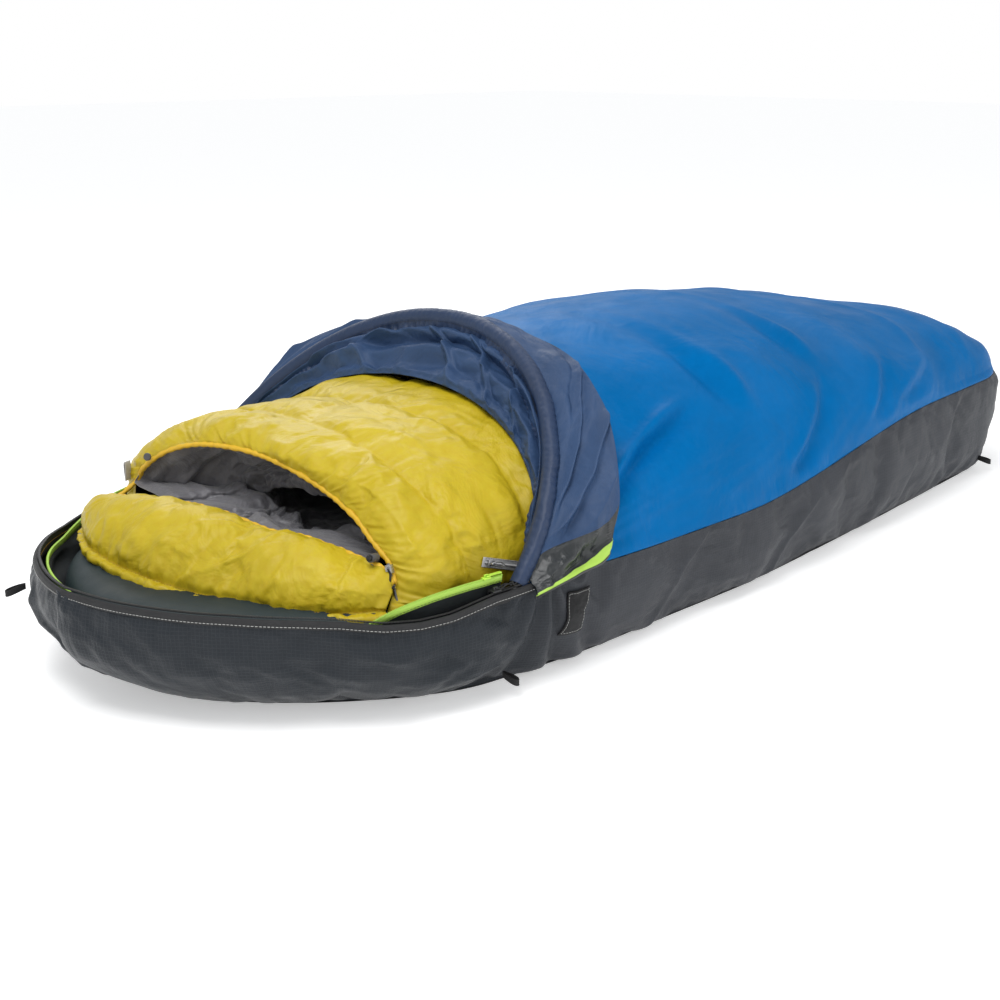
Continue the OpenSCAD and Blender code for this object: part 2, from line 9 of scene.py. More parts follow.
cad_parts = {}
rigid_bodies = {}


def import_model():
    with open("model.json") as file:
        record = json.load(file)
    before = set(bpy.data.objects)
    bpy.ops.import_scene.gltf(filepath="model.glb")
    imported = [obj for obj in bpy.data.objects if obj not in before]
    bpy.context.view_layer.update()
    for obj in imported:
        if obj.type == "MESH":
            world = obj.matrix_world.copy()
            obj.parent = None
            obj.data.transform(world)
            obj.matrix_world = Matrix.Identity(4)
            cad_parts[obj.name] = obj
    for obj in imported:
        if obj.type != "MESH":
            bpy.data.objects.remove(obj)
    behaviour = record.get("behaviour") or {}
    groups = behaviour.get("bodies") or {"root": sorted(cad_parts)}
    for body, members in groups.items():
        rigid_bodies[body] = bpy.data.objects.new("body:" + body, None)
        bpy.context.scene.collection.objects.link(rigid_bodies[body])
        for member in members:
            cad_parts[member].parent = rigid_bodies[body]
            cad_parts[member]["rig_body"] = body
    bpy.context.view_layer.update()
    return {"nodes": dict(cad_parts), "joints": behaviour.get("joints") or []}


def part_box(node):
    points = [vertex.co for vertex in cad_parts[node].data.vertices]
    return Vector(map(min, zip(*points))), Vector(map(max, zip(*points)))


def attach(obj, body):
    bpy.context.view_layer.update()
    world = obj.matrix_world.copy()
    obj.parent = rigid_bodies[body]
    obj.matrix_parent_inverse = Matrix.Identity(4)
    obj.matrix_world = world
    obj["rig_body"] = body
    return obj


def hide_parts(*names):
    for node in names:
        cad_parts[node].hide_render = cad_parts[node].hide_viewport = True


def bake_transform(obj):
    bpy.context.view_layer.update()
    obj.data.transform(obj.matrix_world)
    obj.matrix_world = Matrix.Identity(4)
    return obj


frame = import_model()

scene = bpy.context.scene
JOINTS = {j["name"]: j for j in frame["joints"]}

# ---------------------------------------------------------------- sizes, from the frame

FOOT_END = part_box("tub_wall")[1].x            # the head end is the same distance the other way
LENGTH = 2 * FOOT_END
HINGE = Vector(JOINTS["hoop_tilt"]["pos_m"])  # the hoop's feet
HX, HZ = HINGE.x + FOOT_END, HINGE.z          # x here and below runs from the head end
HALF_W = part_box("top_panel")[1].y
HOOP_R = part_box("pole_tips")[1].y - 0.0066
RIM_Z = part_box("rim_zip_tape")[1].z + 0.001
CROWN_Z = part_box("top_panel")[1].z
LEAN = math.radians(40.6)                     # the hoop, from upright towards the foot
RIM_OFFSET = 0.045                            # the two rim arcs are centred this far off the middle
RIM_R = HALF_W + RIM_OFFSET
NOSE_ANGLE = math.acos(RIM_OFFSET / RIM_R)
FOOT_ROUND = 0.25
FOOT_START = LENGTH - FOOT_ROUND
TAPER_X, TAPER = 1.03, 0.105
CROWN_X = 1.08
OUTLINE_STEP = 0.0075
BODY_SEAM_Z, FOOT_SEAM_Z = 0.148, 0.208       # the blue seam's height beside the chest and the feet
SKIRT_END, HEM_END = 0.80, 0.955              # shares of the folded hood's width, from the sleeve
STITCH = (0.0034, 0.0007, 0.0006)             # one stitch: along, across, high

# ---------------------------------------------------------------- camera and light

TARGET = Vector((1.0 - FOOT_END, 0.0, 0.15))
CAM_AZ, CAM_EL, CAM_DIST = math.radians(-46.41), math.radians(15.62), 2.660
back = Vector((math.sin(CAM_AZ) * math.cos(CAM_EL),
               -math.cos(CAM_AZ) * math.cos(CAM_EL), math.sin(CAM_EL)))
cam_data = bpy.data.cameras.new("camera")
cam_data.sensor_width = 36.0
cam_data.lens = 53.46
cam_data.shift_x, cam_data.shift_y = -0.0692, -0.0387
cam_data.clip_start, cam_data.clip_end = 0.05, 60.0
cam = bpy.data.objects.new("camera", cam_data)
scene.collection.objects.link(cam)
cam.location = TARGET + back * CAM_DIST
cam.rotation_euler = (-back).to_track_quat("-Z", "Y").to_euler()
scene.camera = cam

scene.view_settings.view_transform = "Standard"
scene.view_settings.look = "None"
world = bpy.data.worlds.new("studio")
scene.world = world
world.use_nodes = True
sky_tree = world.node_tree
sky = sky_tree.nodes["Background"]
sky.inputs["Color"].default_value = (0.97, 0.985, 1.0, 1.0)
sky.inputs["Strength"].default_value = 0.64
plain = sky_tree.nodes.new("ShaderNodeBackground")
plain.inputs["Color"].default_value = (1.0, 1.0, 1.0, 1.0)
seen = sky_tree.nodes.new("ShaderNodeLightPath")
either = sky_tree.nodes.new("ShaderNodeMixShader")
for source, socket in ((seen.outputs["Is Camera Ray"], either.inputs[0]),
                       (sky.outputs[0], either.inputs[1]), (plain.outputs[0], either.inputs[2]),
                       (either.outputs[0], sky_tree.nodes["World Output"].inputs["Surface"])):
    sky_tree.links.new(source, socket)


def area_light(name, place, look_at, size, power, colour=(1, 1, 1)):
    data = bpy.data.lights.new(name, "AREA")
    data.shape = "RECTANGLE"
    data.size, data.size_y = size
    data.energy = power
    data.color = colour
    ob = bpy.data.objects.new(name, data)
    scene.collection.objects.link(ob)
    ob.location = place
    ob.rotation_euler = (Vector(look_at) - Vector(place)).to_track_quat("-Z", "Y").to_euler()
    return ob


area_light("key", (-1.6, -0.6, 3.0), (0, 0, 0.1), (1.6, 1.6), 62)
area_light("fill", (0.6, -3.4, 1.5), (0, 0, 0.2), (2.6, 1.6), 26)
area_light("rim", (1.4, 2.8, 2.2), (0, 0, 0.3), (2.2, 1.2), 34)

# ---------------------------------------------------------------- noise, grids and meshes


def lattice(ix, iy, iz, seed):
    with np.errstate(over="ignore"):
        h = (ix.astype(np.uint32) * np.uint32(374761393) + iy.astype(np.uint32)
             * np.uint32(668265263)
             + iz.astype(np.uint32) * np.uint32(2246822519)
             + np.uint32(seed * 3266489917 & 0xFFFFFFFF))
        h = (h ^ (h >> np.uint32(13))) * np.uint32(1274126177)
        h = h ^ (h >> np.uint32(16))
    return h.astype(np.float64) / 4294967295.0 * 2 - 1


def noise(p, seed=0):
    """Smooth noise from -1 to 1 at points p (..., 3)."""
    q = np.asarray(p, float) + 1000.0
    i = np.floor(q).astype(np.int64)
    f = q - i
    f = f * f * f * (f * (f * 6 - 15) + 10)
    out = 0
    for dx in (0, 1):
        for dy in (0, 1):
            for dz in (0, 1):
                w = (f[..., 0] if dx else 1 - f[..., 0]) * (f[..., 1] if dy else 1 - f[..., 1]) \
                    * (f[..., 2] if dz else 1 - f[..., 2])
                out = out + w * lattice(i[..., 0] + dx, i[..., 1] + dy, i[..., 2] + dz, seed)
    return out


def fbm(p, seed=0, octaves=3):
    return sum(noise(np.asarray(p) * 2.03 ** k, seed + 17 * k) * 0.5 ** k for k in range(octaves))


def ridged(p, seed=0, sharp=2.0):
    """Creases: 1 along thin winding lines, falling to 0 between them."""
    return (1 - np.clip(np.abs(noise(p, seed)) * 2.2, 0, 1)) ** sharp


def smooth(t):
    t = np.clip(t, 0, 1)
    return t * t * (3 - 2 * t)


def mix(a, b, t):
    return a + (b - a) * t


def xyz(x, y=0, z=0):
    """Points from three coordinates, which are spread to one shape."""
    return np.stack(np.broadcast_arrays(x, y, z), -1)


def spow(v, e):
    return np.sign(v) * np.abs(v) ** e


def cad(p):
    """Points measured from the head end, moved into the shared frame."""
    q = np.array(p, float)
    q[..., 0] -= FOOT_END
    return q


def grid_normals(P, closed_u=False, closed_v=False):
    def slope(a, axis, closed):
        if closed:
            return np.roll(a, -1, axis) - np.roll(a, 1, axis)
        return np.gradient(a, axis=axis)
    n = np.cross(slope(P, 0, closed_u), slope(P, 1, closed_v))
    return n / np.maximum(np.linalg.norm(n, axis=-1, keepdims=True), 1e-9)


def grid_mesh(name, P, closed_u=False, closed_v=False, flip=False):
    """A smooth mesh through a grid of points, with a UV map in metres."""
    nu, nv = P.shape[:2]
    ids = np.arange(nu * nv).reshape(nu, nv)
    iu = np.arange(nu if closed_u else nu - 1)
    iv = np.arange(nv if closed_v else nv - 1)
    a = ids[np.ix_(iu, iv)]
    b = ids[np.ix_((iu + 1) % nu, iv)]
    c = ids[np.ix_((iu + 1) % nu, (iv + 1) % nv)]
    d = ids[np.ix_(iu, (iv + 1) % nv)]
    quads = np.stack([a, d, c, b] if flip else [a, b, c, d], -1).reshape(-1, 4)
    me = bpy.data.meshes.new(name)
    me.from_pydata(P.reshape(-1, 3).tolist(), [], quads.tolist())
    lu = np.concatenate([[0], np.cumsum(np.linalg.norm(np.diff(P, axis=0), axis=-1).mean(1))])
    lv = np.concatenate([[0], np.cumsum(np.linalg.norm(np.diff(P, axis=1), axis=-1).mean(0))])
    if closed_u:
        lu = np.append(lu, lu[-1] + np.linalg.norm(P[0] - P[-1], axis=-1).mean())
    if closed_v:
        lv = np.append(lv, lv[-1] + np.linalg.norm(P[:, 0] - P[:, -1], axis=-1).mean())
    gu, gv = np.meshgrid(iu, iv, indexing="ij")
    corners = [(gu, gv), (gu, gv + 1), (gu + 1, gv + 1), (gu + 1, gv)] if flip else \
        [(gu, gv), (gu + 1, gv), (gu + 1, gv + 1), (gu, gv + 1)]
    uv = np.stack([np.stack([lu[x], lv[y]], -1) for x, y in corners], -2).reshape(-1, 2)
    layer = me.uv_layers.new(name="UVMap")
    layer.data.foreach_set("uv", uv.astype(np.float32).ravel())
    me.polygons.foreach_set("use_smooth", np.ones(len(me.polygons), bool))
    me.update()
    ob = bpy.data.objects.new(name, me)
    scene.collection.objects.link(ob)
    return ob


def coords(ob):
    co = np.zeros(len(ob.data.vertices) * 3)
    ob.data.vertices.foreach_get("co", co)
    return co.reshape(-1, 3)


def set_coords(ob, co):
    ob.data.vertices.foreach_set("co", np.ascontiguousarray(co, np.float32).ravel())
    ob.data.update()


def bake(ob):
    """Apply every modifier."""
    bpy.context.view_layer.update()
    ev = ob.evaluated_get(bpy.context.evaluated_depsgraph_get())
    me = bpy.data.meshes.new_from_object(ev, preserve_all_data_layers=True,
                                         depsgraph=bpy.context.evaluated_depsgraph_get())
    ob.modifiers.clear()
    old = ob.data
    name = old.name
    ob.data = me
    bpy.data.meshes.remove(old)
    me.name = name
    me.polygons.foreach_set("use_smooth", np.ones(len(me.polygons), bool))
    return ob


def thicken(ob, depth=0.0012, offset=-1.0, inner_slot=0, rim_slot=0):
    m = ob.modifiers.new("thick", "SOLIDIFY")
    m.thickness, m.offset = depth, offset
    m.material_offset, m.material_offset_rim = inner_slot, rim_slot
    return bake(ob)


def subdivide(ob):
    m = ob.modifiers.new("sub", "SUBSURF")
    m.levels = m.render_levels = 1
    m.uv_smooth = "NONE"
    return bake(ob)


def cloth_settle(ob, pinned, frames=16, pressure=0.0, grow=0.03, cap=0.012, stiff=6.0, bend=0.05):
    """Let the cloth buckle and fill out between its pinned points, then keep the result."""
    start = coords(ob)
    group = ob.vertex_groups.new(name="pin")
    group.add([int(i) for i in np.nonzero(pinned)[0]], 1.0, "REPLACE")
    m = ob.modifiers.new("cloth", "CLOTH")
    s = m.settings
    s.quality = 5
    s.mass = 0.12
    s.air_damping = 2.0
    s.tension_stiffness = s.compression_stiffness = stiff
    s.shear_stiffness = stiff / 2
    s.bending_stiffness = bend
    s.tension_damping = s.compression_damping = 5.0
    s.vertex_group_mass = "pin"
    s.pin_stiffness = 1.0
    s.shrink_min = -grow
    s.use_pressure = pressure != 0
    s.uniform_pressure_force = pressure
    s.effector_weights.gravity = 0.0
    m.collision_settings.use_collision = False
    m.collision_settings.use_self_collision = False
    m.point_cache.frame_start, m.point_cache.frame_end = 1, frames
    for f in range(1, frames + 1):
        scene.frame_set(f)
    ev = ob.evaluated_get(bpy.context.evaluated_depsgraph_get())
    co = np.zeros(len(start) * 3)
    ev.data.vertices.foreach_get("co", co)
    move = co.reshape(-1, 3) - start
    far = np.linalg.norm(move, axis=1, keepdims=True)
    move *= np.minimum(1, cap * np.tanh(far / cap) / np.maximum(far, 1e-9))
    ob.modifiers.clear()
    ob.vertex_groups.clear()
    scene.frame_set(1)
    set_coords(ob, start + move)


def face_outwards(ob):
    bm = bmesh.new()
    bm.from_mesh(ob.data)
    bmesh.ops.recalc_face_normals(bm, faces=bm.faces)
    bm.to_mesh(ob.data)
    bm.free()


def join(name, parts):
    """One object from several, keeping their materials."""
    bpy.ops.object.select_all(action="DESELECT")
    for p in parts:
        p.select_set(True)
    bpy.context.view_layer.objects.active = parts[0]
    bpy.ops.object.join()
    ob = bpy.context.view_layer.objects.active
    ob.name = name
    ob.data.name = name
    return ob


def resample(path, step=None, count=None, closed=False):
    P = np.asarray(path, float)
    if closed:
        P = np.vstack([P, P[:1]])
    d = np.concatenate([[0], np.cumsum(np.linalg.norm(np.diff(P, axis=0), axis=1))])
    n = count or max(2, int(round(d[-1] / step)))
    t = np.linspace(0, d[-1], n + 1)[:-1] if closed else np.linspace(0, d[-1], n)
    return np.stack([np.interp(t, d, P[:, k]) for k in range(3)], 1)


def frames_along(P, up=(0, 0, 1), closed=False):
    if closed:
        t = np.roll(P, -1, 0) - np.roll(P, 1, 0)
    else:
        t = np.gradient(P, axis=0)
    t /= np.linalg.norm(t, axis=1, keepdims=True)
    up = np.broadcast_to(np.asarray(up, float), P.shape)
    s = np.cross(t, up)
    s /= np.maximum(np.linalg.norm(s, axis=1, keepdims=True), 1e-9)
    u = np.cross(s, t)
    return t, s, u


def tube(name, path, radius, sides=10, up=(0, 0, 1), closed=False, squash=1.0):
    """A round or oval tube along a path. radius may change along it."""
    P = np.asarray(path, float)
    _, s, u = frames_along(P, up, closed)
    r = np.broadcast_to(np.asarray(radius, float), (len(P),))[:, None, None]
    a = np.linspace(0, 2 * np.pi, sides, endpoint=False)[None, :, None]
    G = P[:, None, :] + r * (np.cos(a) * s[:, None, :] + squash * np.sin(a) * u[:, None, :])
    ob = grid_mesh(name, G, closed_u=closed, closed_v=True)
    if not closed:
        bm = bmesh.new()
        bm.from_mesh(ob.data)
        bm.verts.ensure_lookup_table()
        n = len(P)
        bm.faces.new([bm.verts[k] for k in range(sides)])
        bm.faces.new([bm.verts[(n - 1) * sides + k] for k in reversed(range(sides))])
        bm.to_mesh(ob.data)
        bm.free()
    return ob


def beads(name, places, sides, ups, forwards, size, round_share=0.3):
    """Many small rounded blocks at once, such as zip teeth or stitches. size is (along, across, high)."""
    along, across, high = size
    c = round_share
    pts = []
    for x, k in ((-0.5, 1 - c), (-0.5 + c / 2, 1), (0.5 - c / 2, 1), (0.5, 1 - c)):
        for j in range(6):
            a = math.pi / 3 * j + math.pi / 6
            pts.append((x * along, k * 0.5 * across * math.cos(a), k * 0.5 * high * math.sin(a)))
    pts = np.array(pts)
    faces = []
    for r in range(3):
        for j in range(6):
            faces.append((r * 6 + j, (r + 1) * 6 + j, (r + 1) * 6 + (j + 1) % 6,
                          r * 6 + (j + 1) % 6))
    faces.append(tuple(range(6)))
    faces.append(tuple(18 + j for j in reversed(range(6))))
    V, F = [], []
    for n, (p, s, u, f) in enumerate(zip(places, sides, ups, forwards)):
        V.append(p + pts[:, :1] * f + pts[:, 1:2] * s + pts[:, 2:3] * u)
        F += [tuple(i + n * len(pts) for i in q) for q in faces]
    me = bpy.data.meshes.new(name)
    me.from_pydata(np.vstack(V).tolist(), [], F)
    me.polygons.foreach_set("use_smooth", np.ones(len(me.polygons), bool))
    bm = bmesh.new()
    bm.from_mesh(me)
    bmesh.ops.recalc_face_normals(bm, faces=bm.faces)
    bm.to_mesh(me)
    bm.free()
    ob = bpy.data.objects.new(name, me)
    scene.collection.objects.link(ob)
    return ob


def stitches(name, path, up, step=0.0042, size=(0.003, 0.0007, 0.0006), lift=0.0003):
    """A run of thread stitches along a path. up is the cloth's outward direction."""
    P = resample(path, step)
    U = np.asarray(up, float)
    if U.ndim == 2:
        U = resample(np.asarray(up, float), count=len(P))
        U /= np.linalg.norm(U, axis=1, keepdims=True)
    t, s, u = frames_along(P, U)
    return beads(name, P + u * lift, s, u, t, size)


def through(points, count, closed=False):
    """A smooth curve through points, evenly spaced."""
    K = np.asarray(points, float)
    if closed:
        K = np.vstack([K[-1:], K, K[:2]])
    else:
        K = np.vstack([2 * K[0] - K[1], K, 2 * K[-1] - K[-2]])
    out = []
    for a, b, c, d in zip(K[:-3], K[1:-2], K[2:-1], K[3:]):
        t = np.linspace(0, 1, 24, endpoint=False)[:, None]
        out.append(0.5 * (2 * b + (c - a) * t + (2 * a - 5 * b + 4 * c - d) * t ** 2
                          + (3 * b - a - 3 * c + d) * t ** 3))
    out.append(K[-2][None] if not closed else out[0][:1])
    return resample(np.vstack(out), count=count)


def sweep(name, path, up, profile):
    """A cross-section carried along a path. profile is (across, up) pairs, or one set per point."""
    _, s, u = frames_along(path, up)
    Q = np.asarray(profile, float)
    if Q.ndim == 2:
        Q = np.broadcast_to(Q[None], (len(path),) + Q.shape)
    G = path[:, None, :] + Q[..., :1] * s[:, None, :] + Q[..., 1:] * u[:, None, :]
    return grid_mesh(name, G, closed_v=True)


def hash_wave(s, pitch, seed, drift=2.0):
    return np.sin(s * 2 * np.pi / pitch + drift * noise(xyz(s / pitch / 3), seed))


def length_along(P):
    return np.concatenate([[0], np.cumsum(np.linalg.norm(np.diff(P, axis=0), axis=1))])


def ride_all(body, *obs):
    for o in obs:
        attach(o, body)


# ---------------------------------------------------------------- materials


class Nodes:
    """Short names for building a material's nodes."""

    def __init__(self, name):
        self.mat = bpy.data.materials.new(name)
        self.mat.use_nodes = True
        self.t = self.mat.node_tree
        self.bsdf = self.t.nodes["Principled BSDF"]
        self.obj = self.new("ShaderNodeTexCoord").outputs["Object"]
        uv = self.new("ShaderNodeUVMap")
        uv.uv_map = "UVMap"
        self.uv = uv.outputs["UV"]

    def new(self, kind, **props):
        n = self.t.nodes.new(kind)
        for k, v in props.items():
            setattr(n, k, v)
        return n

    def link(self, a, b):
        self.t.links.new(a, b)
        return b

    def put(self, socket, value):
        if isinstance(value, (int, float, tuple, list)):
            socket.default_value = value
        else:
            self.link(value, socket)

    def noise(self, vec, scale, detail=3.0, rough=0.55, distort=0.0, kind="FBM"):
        n = self.new("ShaderNodeTexNoise", noise_type=kind, normalize=True) if kind == "FBM" else \
            self.new("ShaderNodeTexNoise", noise_type=kind)
        self.link(vec, n.inputs["Vector"])
        n.inputs["Scale"].default_value = scale
        n.inputs["Detail"].default_value = detail
        n.inputs["Roughness"].default_value = rough
        n.inputs["Distortion"].default_value = distort
        return n.outputs["Fac"]

    def wave(self, vec, scale, direction):
        n = self.new("ShaderNodeTexWave", wave_type="BANDS", bands_direction=direction)
        self.link(vec, n.inputs["Vector"])
        n.inputs["Scale"].default_value = scale
        return n.outputs["Fac"]

    def math(self, op, a, b=0.0):
        n = self.new("ShaderNodeMath", operation=op)
        self.put(n.inputs[0], a)
        self.put(n.inputs[1], b)
        return n.outputs[0]

    def ramp(self, fac, low, high, a, b):
        n = self.new("ShaderNodeMapRange", clamp=True)
        self.link(fac, n.inputs["Value"])
        for key, v in (("From Min", low), ("From Max", high), ("To Min", a), ("To Max", b)):
            n.inputs[key].default_value = v
        return n.outputs["Result"]

    def mix(self, fac, a, b, mode="MIX"):
        n = self.new("ShaderNodeMix", data_type="RGBA", blend_type=mode)
        self.put(n.inputs["Factor"], fac)
        self.put(n.inputs["A"], tuple(a) + (1.0,) if isinstance(a, (tuple, list)) else a)
        self.put(n.inputs["B"], tuple(b) + (1.0,) if isinstance(b, (tuple, list)) else b)
        return n.outputs["Result"]

    def bump(self, height, depth, under=None):
        n = self.new("ShaderNodeBump")
        n.inputs["Strength"].default_value = 1.0
        n.inputs["Distance"].default_value = depth
        self.link(height, n.inputs["Height"])
        if under is not None:
            self.link(under, n.inputs["Normal"])
        return n.outputs["Normal"]

    def scaled_axis(self, axis, pitch):
        n = self.new("ShaderNodeSeparateXYZ")
        self.link(self.uv, n.inputs[0])
        return self.math("MULTIPLY", n.outputs[axis], 1.0 / pitch)

    def finish(self, colour, rough, normal=None, **sockets):
        self.put(self.bsdf.inputs["Base Color"], colour)
        self.put(self.bsdf.inputs["Roughness"], rough)
        if normal is not None:
            self.link(normal, self.bsdf.inputs["Normal"])
        for k, v in sockets.items():
            self.bsdf.inputs[k.replace("_", " ")].default_value = v
        return self.mat


def shade(c, k):
    return tuple(min(1.0, x * k) for x in c)


def fabric(name, colour, rough=0.5, vary=0.14, weave=0.0011, weave_depth=0.00012, ripstop=0.0,
           crinkle=0.0, crinkle_scale=28.0, soft=0.0, soft_scale=7.0, tint=None, head=None,
           **sockets):
    """Woven cloth: colour drift, weave, optional ripstop grid, fine crinkles and soft creases."""
    m = Nodes(name)
    drift = m.noise(m.obj, 5.0, 4.0, 0.6)
    speck = m.noise(m.obj, 90.0, 2.0, 0.6)
    base = m.mix(m.ramp(drift, 0.3, 0.7, 0.0, 1.0), shade(colour, 1 - vary),
                 shade(colour, 1 + vary))
    base = m.mix(m.ramp(speck, 0.35, 0.7, 0.0, 0.25), base, tint or shade(colour, 1 - vary * 1.5))
    at_head = None
    if head:
        split = m.new("ShaderNodeSeparateXYZ")
        m.link(m.obj, split.inputs[0])
        at_head = m.ramp(split.outputs["X"], -0.62, -0.44, 1.0, 0.0)
        base = m.mix(at_head, base, head)
    warp = m.wave(m.uv, 0.314 / weave, "X")
    weft = m.wave(m.uv, 0.314 / weave, "Y")
    thread = m.math("MULTIPLY", warp, weft)
    normal = m.bump(thread, weave_depth)
    if ripstop:
        gx = m.math("PINGPONG", m.scaled_axis("X", ripstop), 0.5)
        gy = m.math("PINGPONG", m.scaled_axis("Y", ripstop), 0.5)
        line = m.ramp(m.math("MINIMUM", gx, gy), 0.04, 0.11, 1.0, 0.0)
        normal = m.bump(line, 0.00025, normal)
        base = m.mix(m.math("MULTIPLY", line, 0.16), base, shade(colour, 1.5))
    if crinkle:
        fine = m.noise(m.obj, crinkle_scale, 5.0, 0.62, 0.6, "RIDGED_MULTIFRACTAL")
        normal = m.bump(fine, crinkle, normal)
    if soft:
        wide = m.noise(m.obj, soft_scale, 4.0, 0.5, 1.2)
        normal = m.bump(wide, soft, normal)
    rub = m.noise(m.obj, 14.0, 4.0, 0.65)
    r = m.ramp(rub, 0.25, 0.75, max(0.05, rough - 0.09), min(1.0, rough + 0.09))
    if head:
        r = m.math("SUBTRACT", r, m.math("MULTIPLY", at_head, 0.12))
    return m.finish(base, r, normal, **sockets)


def moulded(name, colour, rough=0.45, metal=0.0, grain=0.00008, **sockets):
    """Moulded plastic or cast metal with a fine grain, paler on its sharp edges."""
    m = Nodes(name)
    fine = m.noise(m.obj, 1400.0, 2.0, 0.6)
    wide = m.noise(m.obj, 60.0, 3.0, 0.6)
    edge = m.new("ShaderNodeNewGeometry").outputs["Pointiness"]
    base = m.mix(m.ramp(wide, 0.3, 0.7, 0.0, 0.6), colour, shade(colour, 0.82))
    base = m.mix(m.ramp(edge, 0.52, 0.62, 0.0, 0.35), base, shade(colour, 1.6))
    normal = m.bump(fine, grain)
    r = m.ramp(wide, 0.3, 0.7, rough - 0.06, rough + 0.08)
    return m.finish(base, r, normal, Metallic=metal, **sockets)


M = {
    "blue": fabric("blue_nylon", (0.0, 0.118, 0.345), 0.46, 0.12, soft=0.014, soft_scale=4.5,
                   crinkle=0.0020, crinkle_scale=15.0, Specular_IOR_Level=0.10,
                   Specular_Tint=(0.04, 0.5, 1.0, 1.0)),
    "grey": fabric("grey_ripstop", (0.048, 0.051, 0.058), 0.47, 0.12, ripstop=0.0052, soft=0.012,
                   soft_scale=6.0, crinkle=0.0022, crinkle_scale=20.0, head=(0.022, 0.026, 0.031),
                   Specular_IOR_Level=0.14),
    "floor": fabric("floor_coated", (0.030, 0.032, 0.036), 0.6, 0.15, ripstop=0.0052,
                    crinkle=0.001),
    # The slate inner face again, made darker: painted shade for the inside where it lies in shadow, on the
    # sleeve, the top's inner side and the hood's undersides.
    "shaded_slate": fabric("slate_nylon_painted_shade", (0.017, 0.035, 0.084), 0.42, 0.14, soft=0.006, soft_scale=9.0,
                   crinkle=0.0016, crinkle_scale=30.0, Specular_IOR_Level=0.35),
    "slate": fabric("slate_nylon", (0.030, 0.062, 0.138), 0.46, 0.14, soft=0.008, soft_scale=8.0,
                    crinkle=0.002, crinkle_scale=20.0, Specular_IOR_Level=0.2),
    "skirt": fabric("coated_skirt", (0.022, 0.025, 0.027), 0.24, 0.2, soft=0.008, soft_scale=14.0,
                    crinkle=0.005, crinkle_scale=24.0, Coat_Weight=0.12, Coat_Roughness=0.2,
                    Specular_IOR_Level=0.4),
    "neon": fabric("neon_tape", (0.40, 0.64, 0.085), 0.45, 0.08, weave=0.0016, weave_depth=0.0002),
    "black_tape": fabric("black_tape", (0.008, 0.008, 0.009), 0.62, 0.2, weave=0.0016,
                         weave_depth=0.0004, tint=(0.02, 0.02, 0.022)),
    "mesh": fabric("insect_mesh", (0.006, 0.010, 0.012), 0.7, 0.2, weave=0.0015, weave_depth=0.0006,
                   tint=(0.016, 0.024, 0.026)),
    "yellow": fabric("yellow_nylon", (0.510, 0.390, 0.014), 0.40, 0.07, weave=0.0009,
                     weave_depth=0.00008, soft=0.009, soft_scale=10.0, crinkle=0.0046,
                     crinkle_scale=24.0, tint=(0.44, 0.26, 0.004), Specular_IOR_Level=0.28),
    "piping": fabric("yellow_binding", (0.72, 0.44, 0.015), 0.5, 0.12, weave=0.001,
                     crinkle=0.0014, crinkle_scale=60.0),
    "lining": fabric("grey_lining", (0.135, 0.132, 0.145), 0.34, 0.22, weave=0.0009, crinkle=0.004,
                     crinkle_scale=24.0, soft=0.010, soft_scale=16.0, Sheen_Weight=0.3),
    "teal": fabric("teal_nylon", (0.010, 0.022, 0.026), 0.55, 0.18, crinkle=0.0008),
    "silver": fabric("silver_tape", (0.50, 0.50, 0.51), 0.42, 0.08, weave=0.0012),
    "webbing": fabric("black_webbing", (0.010, 0.010, 0.011), 0.7, 0.25, weave=0.0022,
                      weave_depth=0.0006),
    "hook": fabric("hook_patch", (0.012, 0.012, 0.013), 0.8, 0.3, weave=0.0018, weave_depth=0.0008),
    "label": fabric("white_label", (0.62, 0.62, 0.60), 0.6, 0.08, weave=0.001),
    "thread": fabric("pale_thread", (0.50, 0.50, 0.48), 0.6, 0.15, weave=0.0006),
    "dark_thread": fabric("dark_thread", (0.012, 0.012, 0.014), 0.6, 0.2, weave=0.0006),
    "gold_thread": fabric("gold_thread", (0.50, 0.28, 0.01), 0.6, 0.15, weave=0.0006),
    "cord": fabric("black_cord", (0.010, 0.010, 0.010), 0.65, 0.3, weave=0.0012,
                   weave_depth=0.0005),
    "plastic": moulded("black_acetal", (0.014, 0.014, 0.015), 0.42),
    "grey_plastic": moulded("grey_acetal", (0.075, 0.075, 0.08), 0.4),
    "green_plastic": moulded("green_acetal", (0.42, 0.70, 0.05), 0.38),
    "zinc": moulded("cast_zinc", (0.46, 0.46, 0.47), 0.28, 0.9),
    "alloy": moulded("anodised_tube", (0.62, 0.63, 0.66), 0.3, 0.9),
    "rubber": moulded("braided_elastic", (0.012, 0.012, 0.012), 0.7),
    "coil": moulded("zip_coil", (0.016, 0.016, 0.017), 0.36),
    "grey_coil": moulded("grey_coil", (0.10, 0.10, 0.105), 0.36),
}


def paint(ob, *keys):
    ob.data.materials.clear()
    for k in keys:
        ob.data.materials.append(M[k])
    return ob


# ---------------------------------------------------------------- the sack's form


def side_half(x):
    return HALF_W - TAPER * np.clip((x - TAPER_X) / (LENGTH - TAPER_X), 0, None) ** 1.2


def foot_cap(x, e):
    q = np.clip((x - FOOT_START) / FOOT_ROUND, 0, 1)
    return (1 - q ** e) ** (1 / e)


def seam_z(x):
    body = mix(mix(RIM_Z, BODY_SEAM_Z, smooth((x - HX) / 0.3)), FOOT_SEAM_Z,
               smooth((x - 0.95) / 0.7))
    return np.where(x < HX, RIM_Z, body)


def crown_z(x):
    d = x - CROWN_X
    h = CROWN_Z - np.where(d > 0, 0.15, 0.40) * d * d
    return mix(seam_z(x), h, foot_cap(x, 2.6))


def head_share(x):
    return 1 - smooth((x - 0.25) / 0.45)


